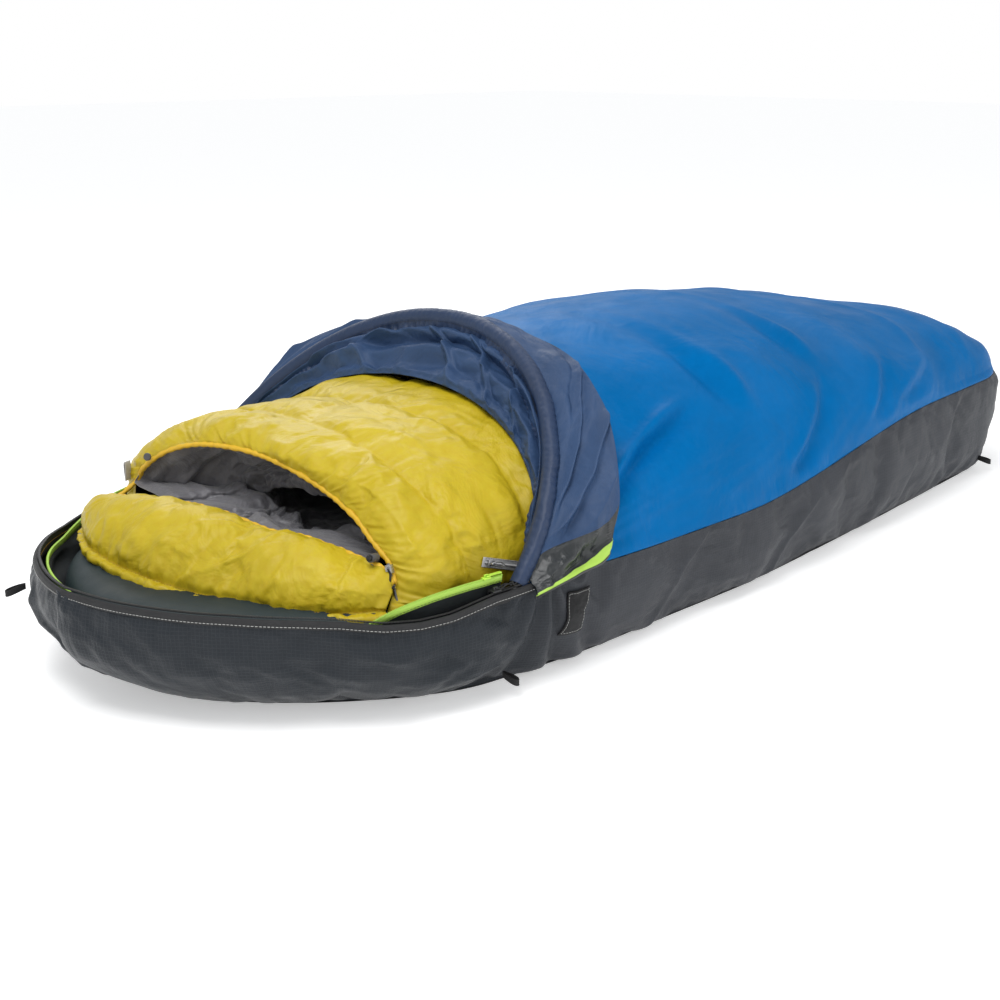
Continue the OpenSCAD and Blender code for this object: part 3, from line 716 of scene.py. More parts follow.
def outline_path():
    a = np.linspace(NOSE_ANGLE, 0, 160)
    head = np.stack([HX - RIM_R * np.sin(a), RIM_OFFSET - RIM_R * np.cos(a)], 1)
    x = np.linspace(HX, FOOT_START, 240)[1:]
    side = np.stack([x, -side_half(x)], 1)
    b = np.radians(np.linspace(0, 90, 90)[1:])
    xf = FOOT_START + FOOT_ROUND * np.sin(b) ** (2 / 2.2)
    foot = np.stack([xf, -side_half(xf) * np.cos(b) ** (2 / 2.2)], 1)
    near = np.vstack([head, side, foot])
    far = near[-2:0:-1] * np.array([1, -1])
    loop = np.vstack([near, far])
    return np.column_stack([loop, np.zeros(len(loop))])


OUTLINE = resample(outline_path(), OUTLINE_STEP, closed=True)


def outline_normals(P):
    t = np.roll(P, -1, 0) - np.roll(P, 1, 0)
    n = np.stack([t[:, 1], -t[:, 0], 0 * t[:, 0]], 1)
    n /= np.linalg.norm(n, axis=1, keepdims=True)
    for _ in range(3):
        n = (np.roll(n, 1, 0) + n + np.roll(n, -1, 0))
        n /= np.linalg.norm(n, axis=1, keepdims=True)
    return n


def hoop_at(f, g=0.0, b=0.0):
    """A point on the hoop at angle f from its near foot, grown by g and b behind its plane."""
    r = HOOP_R + g
    return xyz(HX + r * np.sin(f) * math.sin(LEAN) + b * math.cos(LEAN), -r * np.cos(f),
               HZ + r * np.sin(f) * math.cos(LEAN) - b * math.sin(LEAN))


def top_at(s, f, d=0.0):
    """The blue top: s from its front edge to the foot, f over the top from near to far."""
    q = np.sin(s * np.pi / 2)
    x0 = mix(mix(0.505, LENGTH, q), mix(0.930, LENGTH, q), np.sin(f) ** 1.5)
    w = side_half(x0) * foot_cap(x0, 2.2) - d
    z = seam_z(x0)
    return xyz(x0, -w * spow(np.cos(f), 2 / 2.24), z + (crown_z(x0) - d - z)
               * spow(np.sin(f), 2 / 2.24))

SECTION = np.array([[0, 40, 75], [0.06, 27, 57], [0.13, 19, 43], [0.3, 7, 20], [0.5, 1, 3],
                    [0.7, 0, -6], [0.86, 0, -6], [1, 0, 0]]) * (1, 0.001, 0.001)


RIM_WAVE = [(0.02, 0.016, 0.014), (0.06, 0.014, 0.010), (0.12, 0.012, 0.004),
            (0.185, 0.007, -0.004),
            (0.225, 0.002, -0.005), (0.274, -0.009, -0.005), (0.318, -0.013, -0.004),
            (0.36, -0.011, -0.003),
            (0.400, -0.004, -0.001), (0.430, 0.0, 0.0), (0.49, 0.0, 0.0)]


def rim_wave(x, y):
    """How far the rim stands above or sags below its level, from the head end to the hoop."""
    k = np.array(RIM_WAVE)
    near, far = np.interp(x, k[:, 0], k[:, 1]), np.interp(x, k[:, 0], k[:, 2])
    return mix(near, far, smooth((y + 0.10) / 0.20))


def wall_at(u, h):
    """Points of the tub's side: u indexes the outline, h is the share of its height."""
    p, n = OUTLINE[u], NORMALS[u]
    lean_in = mix(np.interp(h, SECTION[:, 0], SECTION[:, 1])[None, :],
                  np.interp(h, SECTION[:, 0], SECTION[:, 2])[None, :],
                  head_share(p[:, 0])[:, None])
    q = p[:, None, :] - n[:, None, :] * lean_in[..., None]
    tuck = (1 - smooth((p[:, 0] - 0.14) / 0.34))[:, None] * (1 - smooth(h / 0.62))[None, :]
    q -= n[:, None, :] * (0.036 * tuck)[..., None]
    q[..., 2] = 0.0006 + h[None, :] * (seam_z(p[:, 0]) - 0.0016
                                       + rim_wave(p[:, 0], p[:, 1]))[:, None]
    return q


def fan(x, z, cx, cz, count, seed, sharp=1.6):
    """Pleats that spread from a point: height 0 to 1 across them."""
    ang = np.arctan2(x - cx, cz - z)
    wob = 0.10 * noise(xyz(x * 9, z * 9), seed)
    a = (ang + wob) * count
    return np.abs(np.cos(a)) ** sharp


NORMALS = outline_normals(OUTLINE)
N_OUT = len(OUTLINE)
ARC = np.arange(N_OUT) * OUTLINE_STEP

# ---------------------------------------------------------------- the tub

h = 1 - np.linspace(0, 1, 38) ** 1.05
P = wall_at(np.arange(N_OUT), h)
X, Y, Z = P[..., 0], P[..., 1], P[..., 2]
S = np.broadcast_to(ARC[:, None], X.shape)
H = np.broadcast_to(h[None, :], X.shape)
side = np.sign(Y) * 31.0
head = smooth((0.50 - X) / 0.05)
edge = smooth((1 - H) / 0.10) * smooth(H / 0.05)
below_zip = np.exp(-((1 - H) * 0.155 / 0.022)) * smooth((1 - H) * 0.155 / 0.004)
pucker = np.sin(S * 2 * np.pi / 0.0165 + 3.0 * noise(xyz(S * 9), 5)) \
    * (0.55 + 0.45 * noise(xyz(S * 16, H * 2), 6))
tilt = xyz(S * 6.5 + H * 1.5, H * 1.9 - S * 1.2, side)
lens = fbm(tilt, 3, 3)
folds = ridged(xyz(S * 4.2 + H * 1.1, H * 1.7 + 0.6 * lens, side), 11, 3.0)
slant = ridged(xyz((X - 0.55 * Z) * 7.0, Z * 2.6 + side), 23, 2.2)
body = smooth((X - 0.62) / 0.2)
foot = smooth((X - 1.75) / 0.2)
pleat = fan(X, Z, 0.520, 0.190, 7.5, 8) * np.exp(-((X - 0.53 - 0.35 * (0.16 - Z)) / 0.075) ** 2)
sewn = np.exp(-((X - 0.579) / 0.034) ** 4 - ((Z - 0.095) / 0.046) ** 4)
pleat = mix(pleat, 0.45, 0.85 * sewn)
D = edge * (head * (0.0075 * lens + 0.0120 * folds * smooth((0.9 - H) / 0.2) - 0.002)
            + (1 - head) * (0.0038 * lens + 0.0062 * slant * body)) \
    + head * 0.0030 * pucker * below_zip \
    + edge * 0.020 * (pleat - 0.35) * smooth((0.66 - X) / 0.08) * smooth((X - 0.40) / 0.05) \
    - 0.030 * foot * np.exp(-((Z - 0.055) / 0.04) ** 2) * np.exp(-((X - 2.02) / 0.06) ** 2) \
    - 0.016 * foot * np.exp(-((Z - 0.115) / 0.035) ** 2) * np.exp(-((X - 2.085) / 0.05) ** 2)
P += NORMALS[:, None, :] * D[..., None]
P[..., 2] += 0.0016 * np.sin(S * 21 + 2) * head * smooth(H / 0.8) ** 4 \
    + 0.0020 * (noise(xyz(S * 9, 0, 3), 2) + 1) * (1 - smooth(H / 0.10))
tub = grid_mesh("tub_cloth", cad(P), closed_u=True, flip=True)
held_rows = (H > 0.985) | (H < 0.02)
cloth_settle(tub, held_rows.ravel(), frames=14, pressure=0.7, grow=0.035, cap=0.009, stiff=8.0)
WALL = coords(tub).reshape(P.shape)
tub = subdivide(tub)
tub = paint(tub, "grey", "floor")
tub = thicken(tub, 0.0012, -1.0, 1, 0)
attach(tub, "sack")
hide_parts("tub_wall")

# The floor inside the wall's lower edge, with shallow wrinkles.
t = np.linspace(0, 1, 34)[None, :, None]
loop = P[:, -1][:, None, :]
spine = xyz(np.clip(loop[..., 0], 0.42, 1.72), 0, 0.0012)
G = mix(loop, spine, t * 0.985)
G[..., 2] = 0.0011 + 0.0008 * ridged(xyz(G[..., 0] * 6, G[..., 1] * 8), 61, 2.0)
base_cloth = thicken(subdivide(grid_mesh("floor_cloth", cad(G), closed_u=True)), 0.0009, -1.0)
paint(base_cloth, "floor")
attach(base_cloth, "sack")
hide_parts("floor_panel")

# ---------------------------------------------------------------- the blue top

nr, npan, nf = 30, 150, 150
f = np.linspace(0, np.pi, nf)
f = f - 0.16 * np.sin(2 * f) * 0.5
rows = []
for r in np.linspace(0, 1, nr, endpoint=False):
    a, b = hoop_at(f, 0.004, 0.011), top_at(0.0, f)
    rows.append(mix(a, b, r) - np.array([0, 0, 1])
                * (0.012 * np.sin(np.pi * r) * np.sin(f) ** 2)[:, None])
for s in np.linspace(0, 1, npan) ** 0.97:
    rows.append(top_at(s, f))
P = np.array(rows)
row = np.broadcast_to(np.arange(len(rows))[:, None], P.shape[:2])
for _ in range(14):
    soft_rows = np.exp(-((row - nr) / 12.0) ** 2)[..., None]
    Q = P.copy()
    Q[1:-1] = 0.5 * P[1:-1] + 0.25 * (P[:-2] + P[2:])
    P = mix(P, Q, soft_rows)
N = grid_normals(P)
N *= np.sign(N[..., 2:3].mean())
X, Y, Z = P[..., 0], P[..., 1], P[..., 2]
F = np.broadcast_to(f[None, :], X.shape)
inner = smooth(np.sin(F) / 0.10) * smooth((row) / 10.0) * smooth((len(rows) - 1 - row) / 10.0)


def crease(ax, az, bx, bz, width, depth, sag=0.0):
    """A long crease on the near side between two places, with a hollow beneath it."""
    dx, dz = bx - ax, bz - az
    n2 = dx * dx + dz * dz
    t = ((X - ax) * dx + (Z - az) * dz) / n2
    off = ((Z - az) * dx - (X - ax) * dz) / math.sqrt(n2) - sag * np.sin(np.pi * np.clip(t, 0, 1))
    on = smooth((t + 0.05) / 0.25) * smooth((1.05 - t) / 0.35) * (Y < 0)
    return depth * on * (np.exp(-(off / width) ** 2) - 0.9
                         * np.exp(-((off + 1.7 * width) / (1.5 * width)) ** 2))


def dent(cx, cz, rx, rz, depth, tilt=0.0):
    a, b = X - cx + tilt * (Z - cz), Z - cz
    return depth * (Y < 0) * np.exp(-(a / rx) ** 2 - (b / rz) ** 2)


wide = fbm(xyz(X * 3.2, F * 1.1), 41, 3)
drawn = ridged(xyz((X - 0.5 * Z) * 5.0, Z * 2.0 + np.sign(Y) * 9), 43, 2.4)
D = inner * (0.0085 * wide + 0.0075 * drawn * smooth((np.sin(F) - 0.15) / 0.4)
             * (1 - 0.6 * np.sin(F) ** 4))
D += 1.5 * inner * (crease(0.66, 0.235, 0.95, 0.335, 0.008, 0.011, 0.012)
              + crease(0.66, 0.262, 0.76, 0.330, 0.007, 0.008, 0.006)
              + crease(1.10, 0.19, 1.28, 0.335, 0.014, 0.008, -0.01)
              + crease(1.38, 0.23, 1.50, 0.33, 0.012, 0.006, 0.0)
              + crease(1.50, 0.25, 1.66, 0.30, 0.012, 0.005, 0.0)
              - dent(1.02, 0.36, 0.022, 0.05, 0.012, 0.1)
                    + dent(1.055, 0.36, 0.016, 0.05, 0.009, 0.1)
              - dent(1.28, 0.375, 0.02, 0.03, 0.009) + dent(1.31, 0.375, 0.016, 0.03, 0.007)
              - dent(0.80, 0.30, 0.05, 0.05, 0.010) - dent(1.72, 0.27, 0.05, 0.05, 0.007, -0.6))
near_hoop = np.exp(-(row / 16.0) ** 2)
D += inner * 0.0075 * near_hoop * np.sin(F * 34 + 2.5 * noise(xyz(F * 3, X * 4), 9)) \
    * (0.4 + 0.6 * np.abs(np.cos(F)))
seam_pucker = np.exp(-np.abs(np.abs(Y) - side_half(X)) / 0.02) * smooth((X - 0.5) / 0.1)
D += 0.0007 * smooth(np.sin(F)
                     / 0.04) * seam_pucker * np.sin(X * 2 * np.pi / 0.019 + 2
                                                    * noise(xyz(X * 12), 4))
P = P + N * D[..., None]
top = grid_mesh("top_shell", cad(P))
pin = (F < 0.02) | (F > np.pi - 0.02) | (row == 0) | (row > len(rows) - 3)
cloth_settle(top, pin.ravel(), frames=14, pressure=0.25, grow=0.02, cap=0.008, stiff=8.0, bend=0.2)
top = subdivide(top)
# The inner side takes the slate's darker copy, painted shade for the inside.
top = paint(top, "blue", "shaded_slate")
top = thicken(top, 0.0011, -1.0, 1, 0)
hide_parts("top_panel", "hood_canopy")
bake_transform(top)


# ---------------------------------------------------------------- the rim's zip

near_idx = [i for i in range(N_OUT // 2) if OUTLINE[i, 0] < 0.50]
far_idx = [i for i in range(N_OUT // 2, N_OUT) if OUTLINE[i, 0] < 0.50]
rim_idx = far_idx + near_idx
RIM = OUTLINE[rim_idx].copy()
RIM_N = NORMALS[rim_idx].copy()
rim_s = length_along(RIM)
RIM[:, 2] = RIM_Z + rim_wave(RIM[:, 0], RIM[:, 1]) + 0.0012 * noise(xyz(rim_s * 9), 61)
RIM += RIM_N * (0.0010 * noise(xyz(rim_s * 14), 62))[:, None]
rim_cad = cad(RIM)
prof = np.array([(-0.0046, -0.0100), (-0.0040, -0.0060), (-0.0030, -0.0012), (-0.0012, 0.0016),
                 (0.0020, 0.0018),
                 (0.0042, 0.0002), (0.0048, -0.006), (0.0048, -0.016), (0.0038, -0.0165),
                 (0.0024, -0.010)])
binding = sweep("rim_binding", rim_cad, (0, 0, 1), prof * (-1, 1))
binding = paint(subdivide(binding), "black_tape")
teeth_path = resample(cad(RIM - RIM_N * 0.0052 + (0, 0, 0.0030)), 0.0019)
t, s_, u_ = frames_along(teeth_path)
teeth = paint(beads("rim_coil", teeth_path, s_, u_, t, (0.00125, 0.0052, 0.0032)), "coil")
tape_line = stitches("rim_stitch_outer", cad(RIM + RIM_N * 0.0040 - (0, 0, 0.0062)), RIM_N, 0.0052,
                     STITCH, 0.0003)
paint(tape_line, "thread")
inner_line = stitches("rim_stitch_inner", cad(RIM - RIM_N * 0.0050 - (0, 0, 0.0070)), -RIM_N,
                      0.0052,
                      (0.0034, 0.0008, 0.0007), 0.0002)
paint(inner_line, "gold_thread")
ride_all("sack", binding, teeth, tape_line, inner_line)
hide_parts("rim_zip_tape")
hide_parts("rim_zip_coil")

# ---------------------------------------------------------------- the insect mesh

a = np.linspace(math.radians(2.5), NOSE_ANGLE, 90)
half = np.stack([HX - (RIM_R - 0.0156) * np.sin(a), RIM_OFFSET - (RIM_R - 0.0156) * np.cos(a),
                 0 * a], 1)
deg = np.degrees(a)
near_top = np.interp(deg, [2, 6, 10, 16, 22, 26, 31, 40, 60, 78, 90],
                     [0.172, 0.1725, 0.172, 0.168, 0.159, 0.149, 0.128, 0.106, 0.104, 0.135, 0.158])
far_top = np.interp(deg, [2, 12, 22, 34, 45, 58, 72, 84, 90],
                    [0.165, 0.164, 0.161, 0.150, 0.142, 0.150, 0.156, 0.158, 0.158])
for _ in range(6):
    near_top[1:-1] = 0.25 * (near_top[:-2] + near_top[2:]) + 0.5 * near_top[1:-1]
    far_top[1:-1] = 0.25 * (far_top[:-2] + far_top[2:]) + 0.5 * far_top[1:-1]
near_half = half.copy()
near_half[:, 2] = near_top
far_half = half * (1, -1, 1)
far_half[:, 2] = far_top
edge_path = np.vstack([near_half, far_half[-2::-1]])
edge_path = resample(edge_path, 0.006)
es = length_along(edge_path)
c = np.array([0.62, 0.0, 0.0])
out_dir = edge_path * (1, 1, 0) - c
out_dir /= np.linalg.norm(out_dir, axis=1, keepdims=True)
edge_path = edge_path + out_dir * (0.0030 * noise(xyz(es * 7), 71))[:, None]
v = np.linspace(0, 1, 22)
G = edge_path[:, None, :] * np.ones((1, len(v), 1))
drop = np.minimum(0.066, edge_path[:, 2] - 0.030)
G[..., 2] -= v[None, :] * drop[:, None]
bag_out = (0.007 * noise(xyz(es[:, None] * 11, 3 * v[None, :]), 72)
           - 0.006 * np.sin(np.pi * v)[None, :]) * smooth(v / 0.25)[None, :]
bag_out = bag_out - 0.060 * smooth((0.125 - G[..., 2]) / 0.095)
G += out_dir[:, None, :] * bag_out[..., None]
net = paint(thicken(subdivide(grid_mesh("mesh_net", cad(G))), 0.0007), "mesh")
tape_prof = np.array([(-0.0011, -0.0045), (0.0011, -0.0045), (0.0012, 0.003), (0.0006, 0.0048),
                      (-0.0006, 0.0048), (-0.0012, 0.003)])
green_tape = sweep("mesh_tape", cad(edge_path), (0, 0, 1), tape_prof)
green_teeth_at = resample(cad(edge_path + (0, 0, 0.0052)), 0.0021)
t, s_, u_ = frames_along(green_teeth_at)
green_teeth = paint(beads("mesh_teeth", green_teeth_at, s_, u_, t, (0.0014, 0.0042, 0.0026)),
                    "neon")
paint(green_tape, "neon")
net_line = paint(stitches("mesh_stitch", cad(edge_path - (0, 0, 0.0028) + out_dir * 0.0013),
                          out_dir, 0.005,
                          STITCH), "dark_thread")
ride_all("sack", net, green_tape, green_teeth, net_line)
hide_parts("mesh_band")
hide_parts("mesh_zip_tape")

# ---------------------------------------------------------------- the pad

pad_prof = [(0.134, 0.004), (0.112, 0.016), (0.085, 0.040), (0.057, 0.066), (0.043, 0.088),
            (0.038, 0.108),
            (0.041, 0.126), (0.053, 0.139), (0.080, 0.147), (0.14, 0.149), (0.21, 0.140),
            (0.27, 0.115)]
body_prof = [(0.078, 0.003), (0.067, 0.010), (0.061, 0.022), (0.060, 0.035), (0.060, 0.045),
             (0.061, 0.055),
             (0.064, 0.065), (0.070, 0.075), (0.080, 0.082), (0.12, 0.086), (0.17, 0.087),
             (0.22, 0.087)]
pad_u = through([(p[0], p[1], 0) for p in pad_prof], 34)
body_u = through([(p[0], p[1], 0) for p in body_prof], 34)
ring = OUTLINE[::3]
rn = NORMALS[::3]
share = smooth((0.44 - ring[:, 0]) / 0.16)[:, None]
inset = mix(body_u[None, :, 0], pad_u[None, :, 0], share)
G = ring[:, None, :] - rn[:, None, :] * inset[..., None]
G[..., 2] = mix(body_u[None, :, 1], pad_u[None, :, 1], share)
ps = np.arange(len(ring)) * 0.0225
G += rn[:, None, :] * (0.004 * noise(xyz(ps[:, None] * 6, G[..., 2] * 16), 81))[..., None]
pad = grid_mesh("pad_skin", cad(G), closed_u=True)
bm = bmesh.new()
bm.from_mesh(pad.data)
bm.verts.ensure_lookup_table()
for k, up in ((0, False), (G.shape[1] - 1, True)):
    bm.verts.ensure_lookup_table()
    loop = [bm.verts[i * G.shape[1] + k] for i in range(G.shape[0])]
    mid = bm.verts.new(sum((q.co for q in loop), Vector()) / len(loop))
    for i in range(len(loop)):
        tri = (loop[i], loop[(i + 1) % len(loop)], mid)
        bm.faces.new(tri if not up else tri[::-1])
bmesh.ops.recalc_face_normals(bm, faces=bm.faces)
bm.to_mesh(pad.data)
bm.free()
pad = paint(subdivide(pad), "teal")
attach(pad, "sack")
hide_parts("sleeping_pad")

# ---------------------------------------------------------------- the sleeping bag

BAG_X = [0.30, 0.34, 0.40, 0.48, 0.58, 0.70, 0.82, 0.95]
BAG_HALF = [0.256, 0.300, 0.332, 0.350, 0.358, 0.366, 0.374, 0.380]
BAG_TOP = [0.306, 0.315, 0.320, 0.325, 0.330, 0.342, 0.363, 0.384]
BAG_MID, BAG_LOW = 0.150, 0.089


def smooth_table(x, xs, ys):
    fine = through([(a, b, 0) for a, b in zip(xs, ys)], 200)
    return np.interp(x, fine[:, 0], fine[:, 1])


def bag_ring(x, f, d=0.0):
    x = np.asarray(x, float)
    hw = np.where(x < 0.95, smooth_table(x, BAG_X, BAG_HALF),
                  (side_half(x) - 0.025) * foot_cap(x + 0.04, 2.3))
    up = np.where(x < 0.95, smooth_table(x, BAG_X, BAG_TOP),
                  mix(0.19, crown_z(x) - 0.022, foot_cap(x + 0.04, 2.5)))
    under = 0.022 * smooth((x - 0.66) / 0.14)
    hw, up = hw - under, up - under
    hw = np.maximum(hw - d, 0.004)
    c, s = np.cos(f), np.sin(f)
    z = BAG_MID + np.where(s > 0, (up - d - BAG_MID), (BAG_MID - BAG_LOW - d)) * spow(s, 2 / 2.3)
    return xyz(x + 0 * f, -hw * spow(c, 2 / 2.3), z)


LIP = through([(0.310, -0.306, 0.105), (0.318, -0.316, 0.145), (0.336, -0.307, 0.176),
               (0.343, -0.291, 0.197),
               (0.347, -0.250, 0.219), (0.352, -0.205, 0.244), (0.356, -0.110, 0.272),
               (0.346, 0.0, 0.292),
               (0.326, 0.100, 0.293), (0.306, 0.165, 0.279), (0.291, 0.212, 0.252),
               (0.286, 0.246, 0.220),
               (0.290, 0.262, 0.178), (0.300, 0.250, 0.120)], 170)
nf = 170
lip_s = length_along(LIP) / length_along(LIP)[-1]
fa = np.radians(mix(-24, 204, lip_s))
xs = np.concatenate([np.full(1, 0.43), 0.43 + (np.linspace(0, 1, 119)[1:]) ** 1.15 * 0.60])
xs = np.concatenate([xs, np.linspace(1.03, LENGTH - 0.045, 34)[1:]])
base = bag_ring(xs[0], fa)
rows = []
for q in np.linspace(0, 1, 36)[:-1]:
    c1, s1 = 1 - math.cos(q * math.pi / 2), math.sin(q * math.pi / 2) ** 0.9
    rows.append(xyz(mix(LIP[:, 0], base[:, 0], c1), mix(LIP[:, 1], base[:, 1], s1),
                    mix(LIP[:, 2], base[:, 2], s1)))
rows += [bag_ring(x, fa) for x in xs]
P = np.array(rows)
N = grid_normals(P)
N *= np.sign((N[..., 2] * (P[..., 2] - BAG_MID)).mean())
row = np.broadcast_to(np.arange(len(rows))[:, None], P.shape[:2]).astype(float)
X, Y, Z = P[..., 0], P[..., 1], P[..., 2]
from_lip = length_along(P[:, nf // 2])[:, None] + 0 * X
inner = smooth((row - 1) / 7.0)
FA = np.broadcast_to(fa[None, :], X.shape)
arc = fbm(xyz(from_lip * 17, FA * 2.1), 91, 3)
arc2 = ridged(xyz(from_lip * 13 + 0.8 * noise(xyz(X * 6, Y * 6, Z * 6), 4), FA * 1.7), 93, 2.0)
small = fbm(xyz(X * 34, Y * 22, Z * 30), 97, 2)
CHANNELS = (0.105, 0.235, 0.375, 0.52)
channel = sum(np.exp(-((from_lip - c0 - 0.010 * np.sin(FA * 3 + c0 * 20))
                       / 0.007) ** 2) for c0 in CHANNELS)
radial = hash_wave(FA * 0.33, 0.020, 12, 3.0) * np.exp(-from_lip / 0.045)
D = inner * (0.0055 * arc + 0.0036 * arc2 + 0.0013 * small - 0.0042 * channel + 0.0020 * radial)
D += 0.007 * inner * np.exp(-((from_lip - 0.045) / 0.035) ** 2)
calm = np.exp(-((X - 0.515) / 0.075) ** 4 - ((Z - 0.165) / 0.035) ** 4) * (Y < 0)
D = D * (1 - calm) - 0.001 * calm
seam_side = np.exp(-((X - 0.330 - 0.02 * smooth((0.19 - Z) / 0.1))
                     / 0.014) ** 2) * (Y < -0.2) * smooth((0.21 - Z) / 0.03)
D -= 0.006 * seam_side
P = P + N * D[..., None]
shell = grid_mesh("bag_cloth", cad(P))
pins = (calm > 0.35) | (row < 1) | (row > len(rows)
                                    - 2) | (FA < math.radians(-20)) | (FA > math.radians(200))
for c0 in CHANNELS[:3]:
    pins |= np.abs(from_lip - c0 - 0.010 * np.sin(FA * 3 + c0 * 20)) < 0.0035
cloth_settle(shell, pins.ravel(), frames=16, pressure=2.5, grow=0.05, cap=0.011, stiff=7.0,
             bend=0.03)
shell_edge = coords(shell).reshape(len(rows), nf, 3)[0]
shell = paint(subdivide(shell), "yellow", "lining")
shell = thicken(shell, 0.0010, -1.0, 1, 0)

# The lower hood: a filled crescent between the face opening and the pad.
LOWER = through([(0.337, -0.312, 0.166), (0.334, -0.298, 0.190), (0.324, -0.255, 0.201),
                 (0.314, -0.2, 0.206),
                 (0.287, -0.1, 0.213), (0.272, 0.0, 0.219), (0.258, 0.08, 0.219),
                 (0.242, 0.15, 0.215),
                 (0.233, 0.2, 0.210), (0.232, 0.24, 0.198), (0.245, 0.266, 0.178)], 150)
FRONT = through([(0.311, -0.320, 0.147), (0.298, -0.311, 0.147), (0.266, -0.283, 0.146),
                 (0.228, -0.230, 0.146),
                 (0.196, -0.165, 0.149), (0.166, -0.09, 0.152), (0.146, 0.0, 0.158),
                 (0.140, 0.09, 0.162),
                 (0.150, 0.17, 0.166), (0.176, 0.235, 0.168), (0.222, 0.268, 0.168)], 150)
nh = 150
hs = length_along(FRONT)
span = np.linspace(0, 1, nh)
plump = (np.sin(np.pi * mix(0.03, 0.97, span)) ** 0.5)[:, None]
cols = []
for q in np.linspace(0, 1, 46):
    rise = 0.036 * plump[:, 0] * (4 * q * (1 - q)) ** 0.75 * (1.0 - 0.25 * q)
    p = mix(LOWER, FRONT, q ** 1.05)
    p[:, 2] += rise
    cols.append(p)
strip = [(0.0000, -0.0035), (-0.0040, -0.0045), (-0.0072, -0.0080), (-0.0080, -0.0130),
         (-0.0060, -0.0175),
         (0.0000, -0.0205), (0.02, -0.024), (0.06, -0.028)]
outd = FRONT * (1, 1, 0) - np.array([0.45, -0.02, 0])
outd /= np.linalg.norm(outd, axis=1, keepdims=True)
for o, dz in strip:
    p = FRONT - outd * o
    p[:, 2] += dz - 0.035 * (o > 0.015) * (1 - smooth(span / 0.18))
    cols.append(p)
inside = [(0.010, -0.006), (0.022, -0.022), (0.034, -0.045), (0.040, -0.070)]
back_cols = []
for o, dz in inside[::-1]:
    p = LOWER.copy()
    p -= outd * o * np.array([1, 1, 0])
    p[:, 2] = np.maximum(p[:, 2] + dz, 0.112)
    back_cols.append(p)
P = np.stack(back_cols + cols, 1)
nb = len(back_cols)
N = grid_normals(P)
N *= np.sign(N[:, nb + 20, 2].mean())
col = np.broadcast_to(np.arange(P.shape[1])[None, :], P.shape[:2]).astype(float)
SS = np.broadcast_to(hs[:, None], P.shape[:2])
X, Y, Z = P[..., 0], P[..., 1], P[..., 2]
q = np.clip((col - nb) / 45.0, 0, 1)
seam_col = nb + 45.5
near_seam = np.exp(-np.abs(col - seam_col) / 3.2)
pucker = hash_wave(SS, 0.026, 14, 3.0) * 0.6 + hash_wave(SS, 0.015, 15, 3.0) * 0.4
D = (0.0028 * fbm(xyz(X * 13, Y * 9, Z * 9), 101, 3) * 2
     + 0.0032 * ridged(xyz((X + 0.8 * Y) * 13, (Y - 0.3 * X) * 7), 103, 2.4)) * smooth(col / 6) \
    + 0.0038 * pucker * near_seam * smooth((col - nb) / 8) \
    + 0.0012 * fbm(xyz(X * 40, Y * 40, Z * 40), 107, 2)
D += -0.0045 * np.exp(-((col - seam_col) / 1.2) ** 2)
D += 0.0030 * ridged(xyz(SS * 22, q * 2.0 + 0 * SS), 109, 1.5) * smooth((q - 0.55) / 0.3) * (q < 1)
P = P + N * D[..., None]
hood = grid_mesh("hood_pillow", cad(P))
pins = (col < 1) | (col > P.shape[1]
                    - 3) | (np.abs(col - seam_col) < 1.0) | (np.abs(col - nb) < 0.6)
cloth_settle(hood, pins.ravel(), frames=16, pressure=2.2, grow=0.06, cap=0.009, stiff=7.0,
             bend=0.03)
hood_lip = coords(hood).reshape(P.shape)[:, nb]
hood_seam = coords(hood).reshape(P.shape)[:, nb + 45]
hood = paint(subdivide(hood), "yellow", "lining")
hood = thicken(hood, 0.0010, -1.0, 1, 0)
hood_thread = paint(stitches("hood_stitch", hood_seam - (0, 0, 0.0005), outd, 0.0044,
                             (0.0028, 0.0007, 0.0006), 0.001),
                    "gold_thread")

# The rolled binding round the face opening.
upper = shell_edge[18:-14]
face_loop = np.vstack([hood_lip[2:-3], upper[::-1][2:-2]])
face_loop = through(face_loop[::6], 420, closed=True)
fs = length_along(face_loop)
hub = face_loop.mean(0)
away = face_loop - hub
away /= np.linalg.norm(away, axis=1, keepdims=True)
roll = 0.0042 * (1 + 0.16 * hash_wave(fs, 0.017, 17, 2.5) + 0.10 * noise(xyz(fs * 40), 18))
piping = paint(subdivide(tube("face_piping", face_loop, roll, 10, (-1, 0, 0.3), closed=True,
                              squash=0.9)), "piping")
pipe_thread = paint(stitches("piping_stitch", face_loop + away * 0.0050
                             + np.array([-0.001, 0, 0.0022]), away + (0, 0, 0.6),
                             0.0046, (0.003, 0.0007, 0.0006), 0.0006), "gold_thread")
ride_all("sack", shell, hood, hood_thread, piping, pipe_thread)
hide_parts("bag_shell")
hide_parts("bag_hood")

# The lining and the draft collar inside.
lf = np.radians(np.linspace(0, 360, 200, endpoint=False))
lip_ring = through(face_loop[::-1][::14], 200, closed=True)
start = lip_ring + np.array([FOOT_END, 0, 0])
ang = np.arctan2(start[:, 2] - 0.235, -(start[:, 1] + 0.02))
order = np.argsort(ang)
ring0 = np.stack([np.interp(np.arctan2(np.sin(lf), np.cos(lf)), ang[order], start[order, k],
                            period=2 * np.pi)
                  for k in range(3)], 1)
neck = xyz(0.410, -0.045 - 0.125 * np.cos(lf), 0.196 + 0.034 * np.sin(lf))
chest = xyz(0.53, -0.26 * np.cos(lf), 0.215 + 0.075 * np.sin(lf))
end = bag_ring(1.60, lf, 0.05)
rows = [mix(ring0, neck, q)
        + xyz(0.035 * np.sin(np.pi * q) + 0 * lf, 0, 0.020 * np.sin(np.pi * q)
              * np.sign(np.sin(lf)) * np.abs(np.sin(lf)) ** 0.5)
        for q in np.linspace(0, 1, 60)]
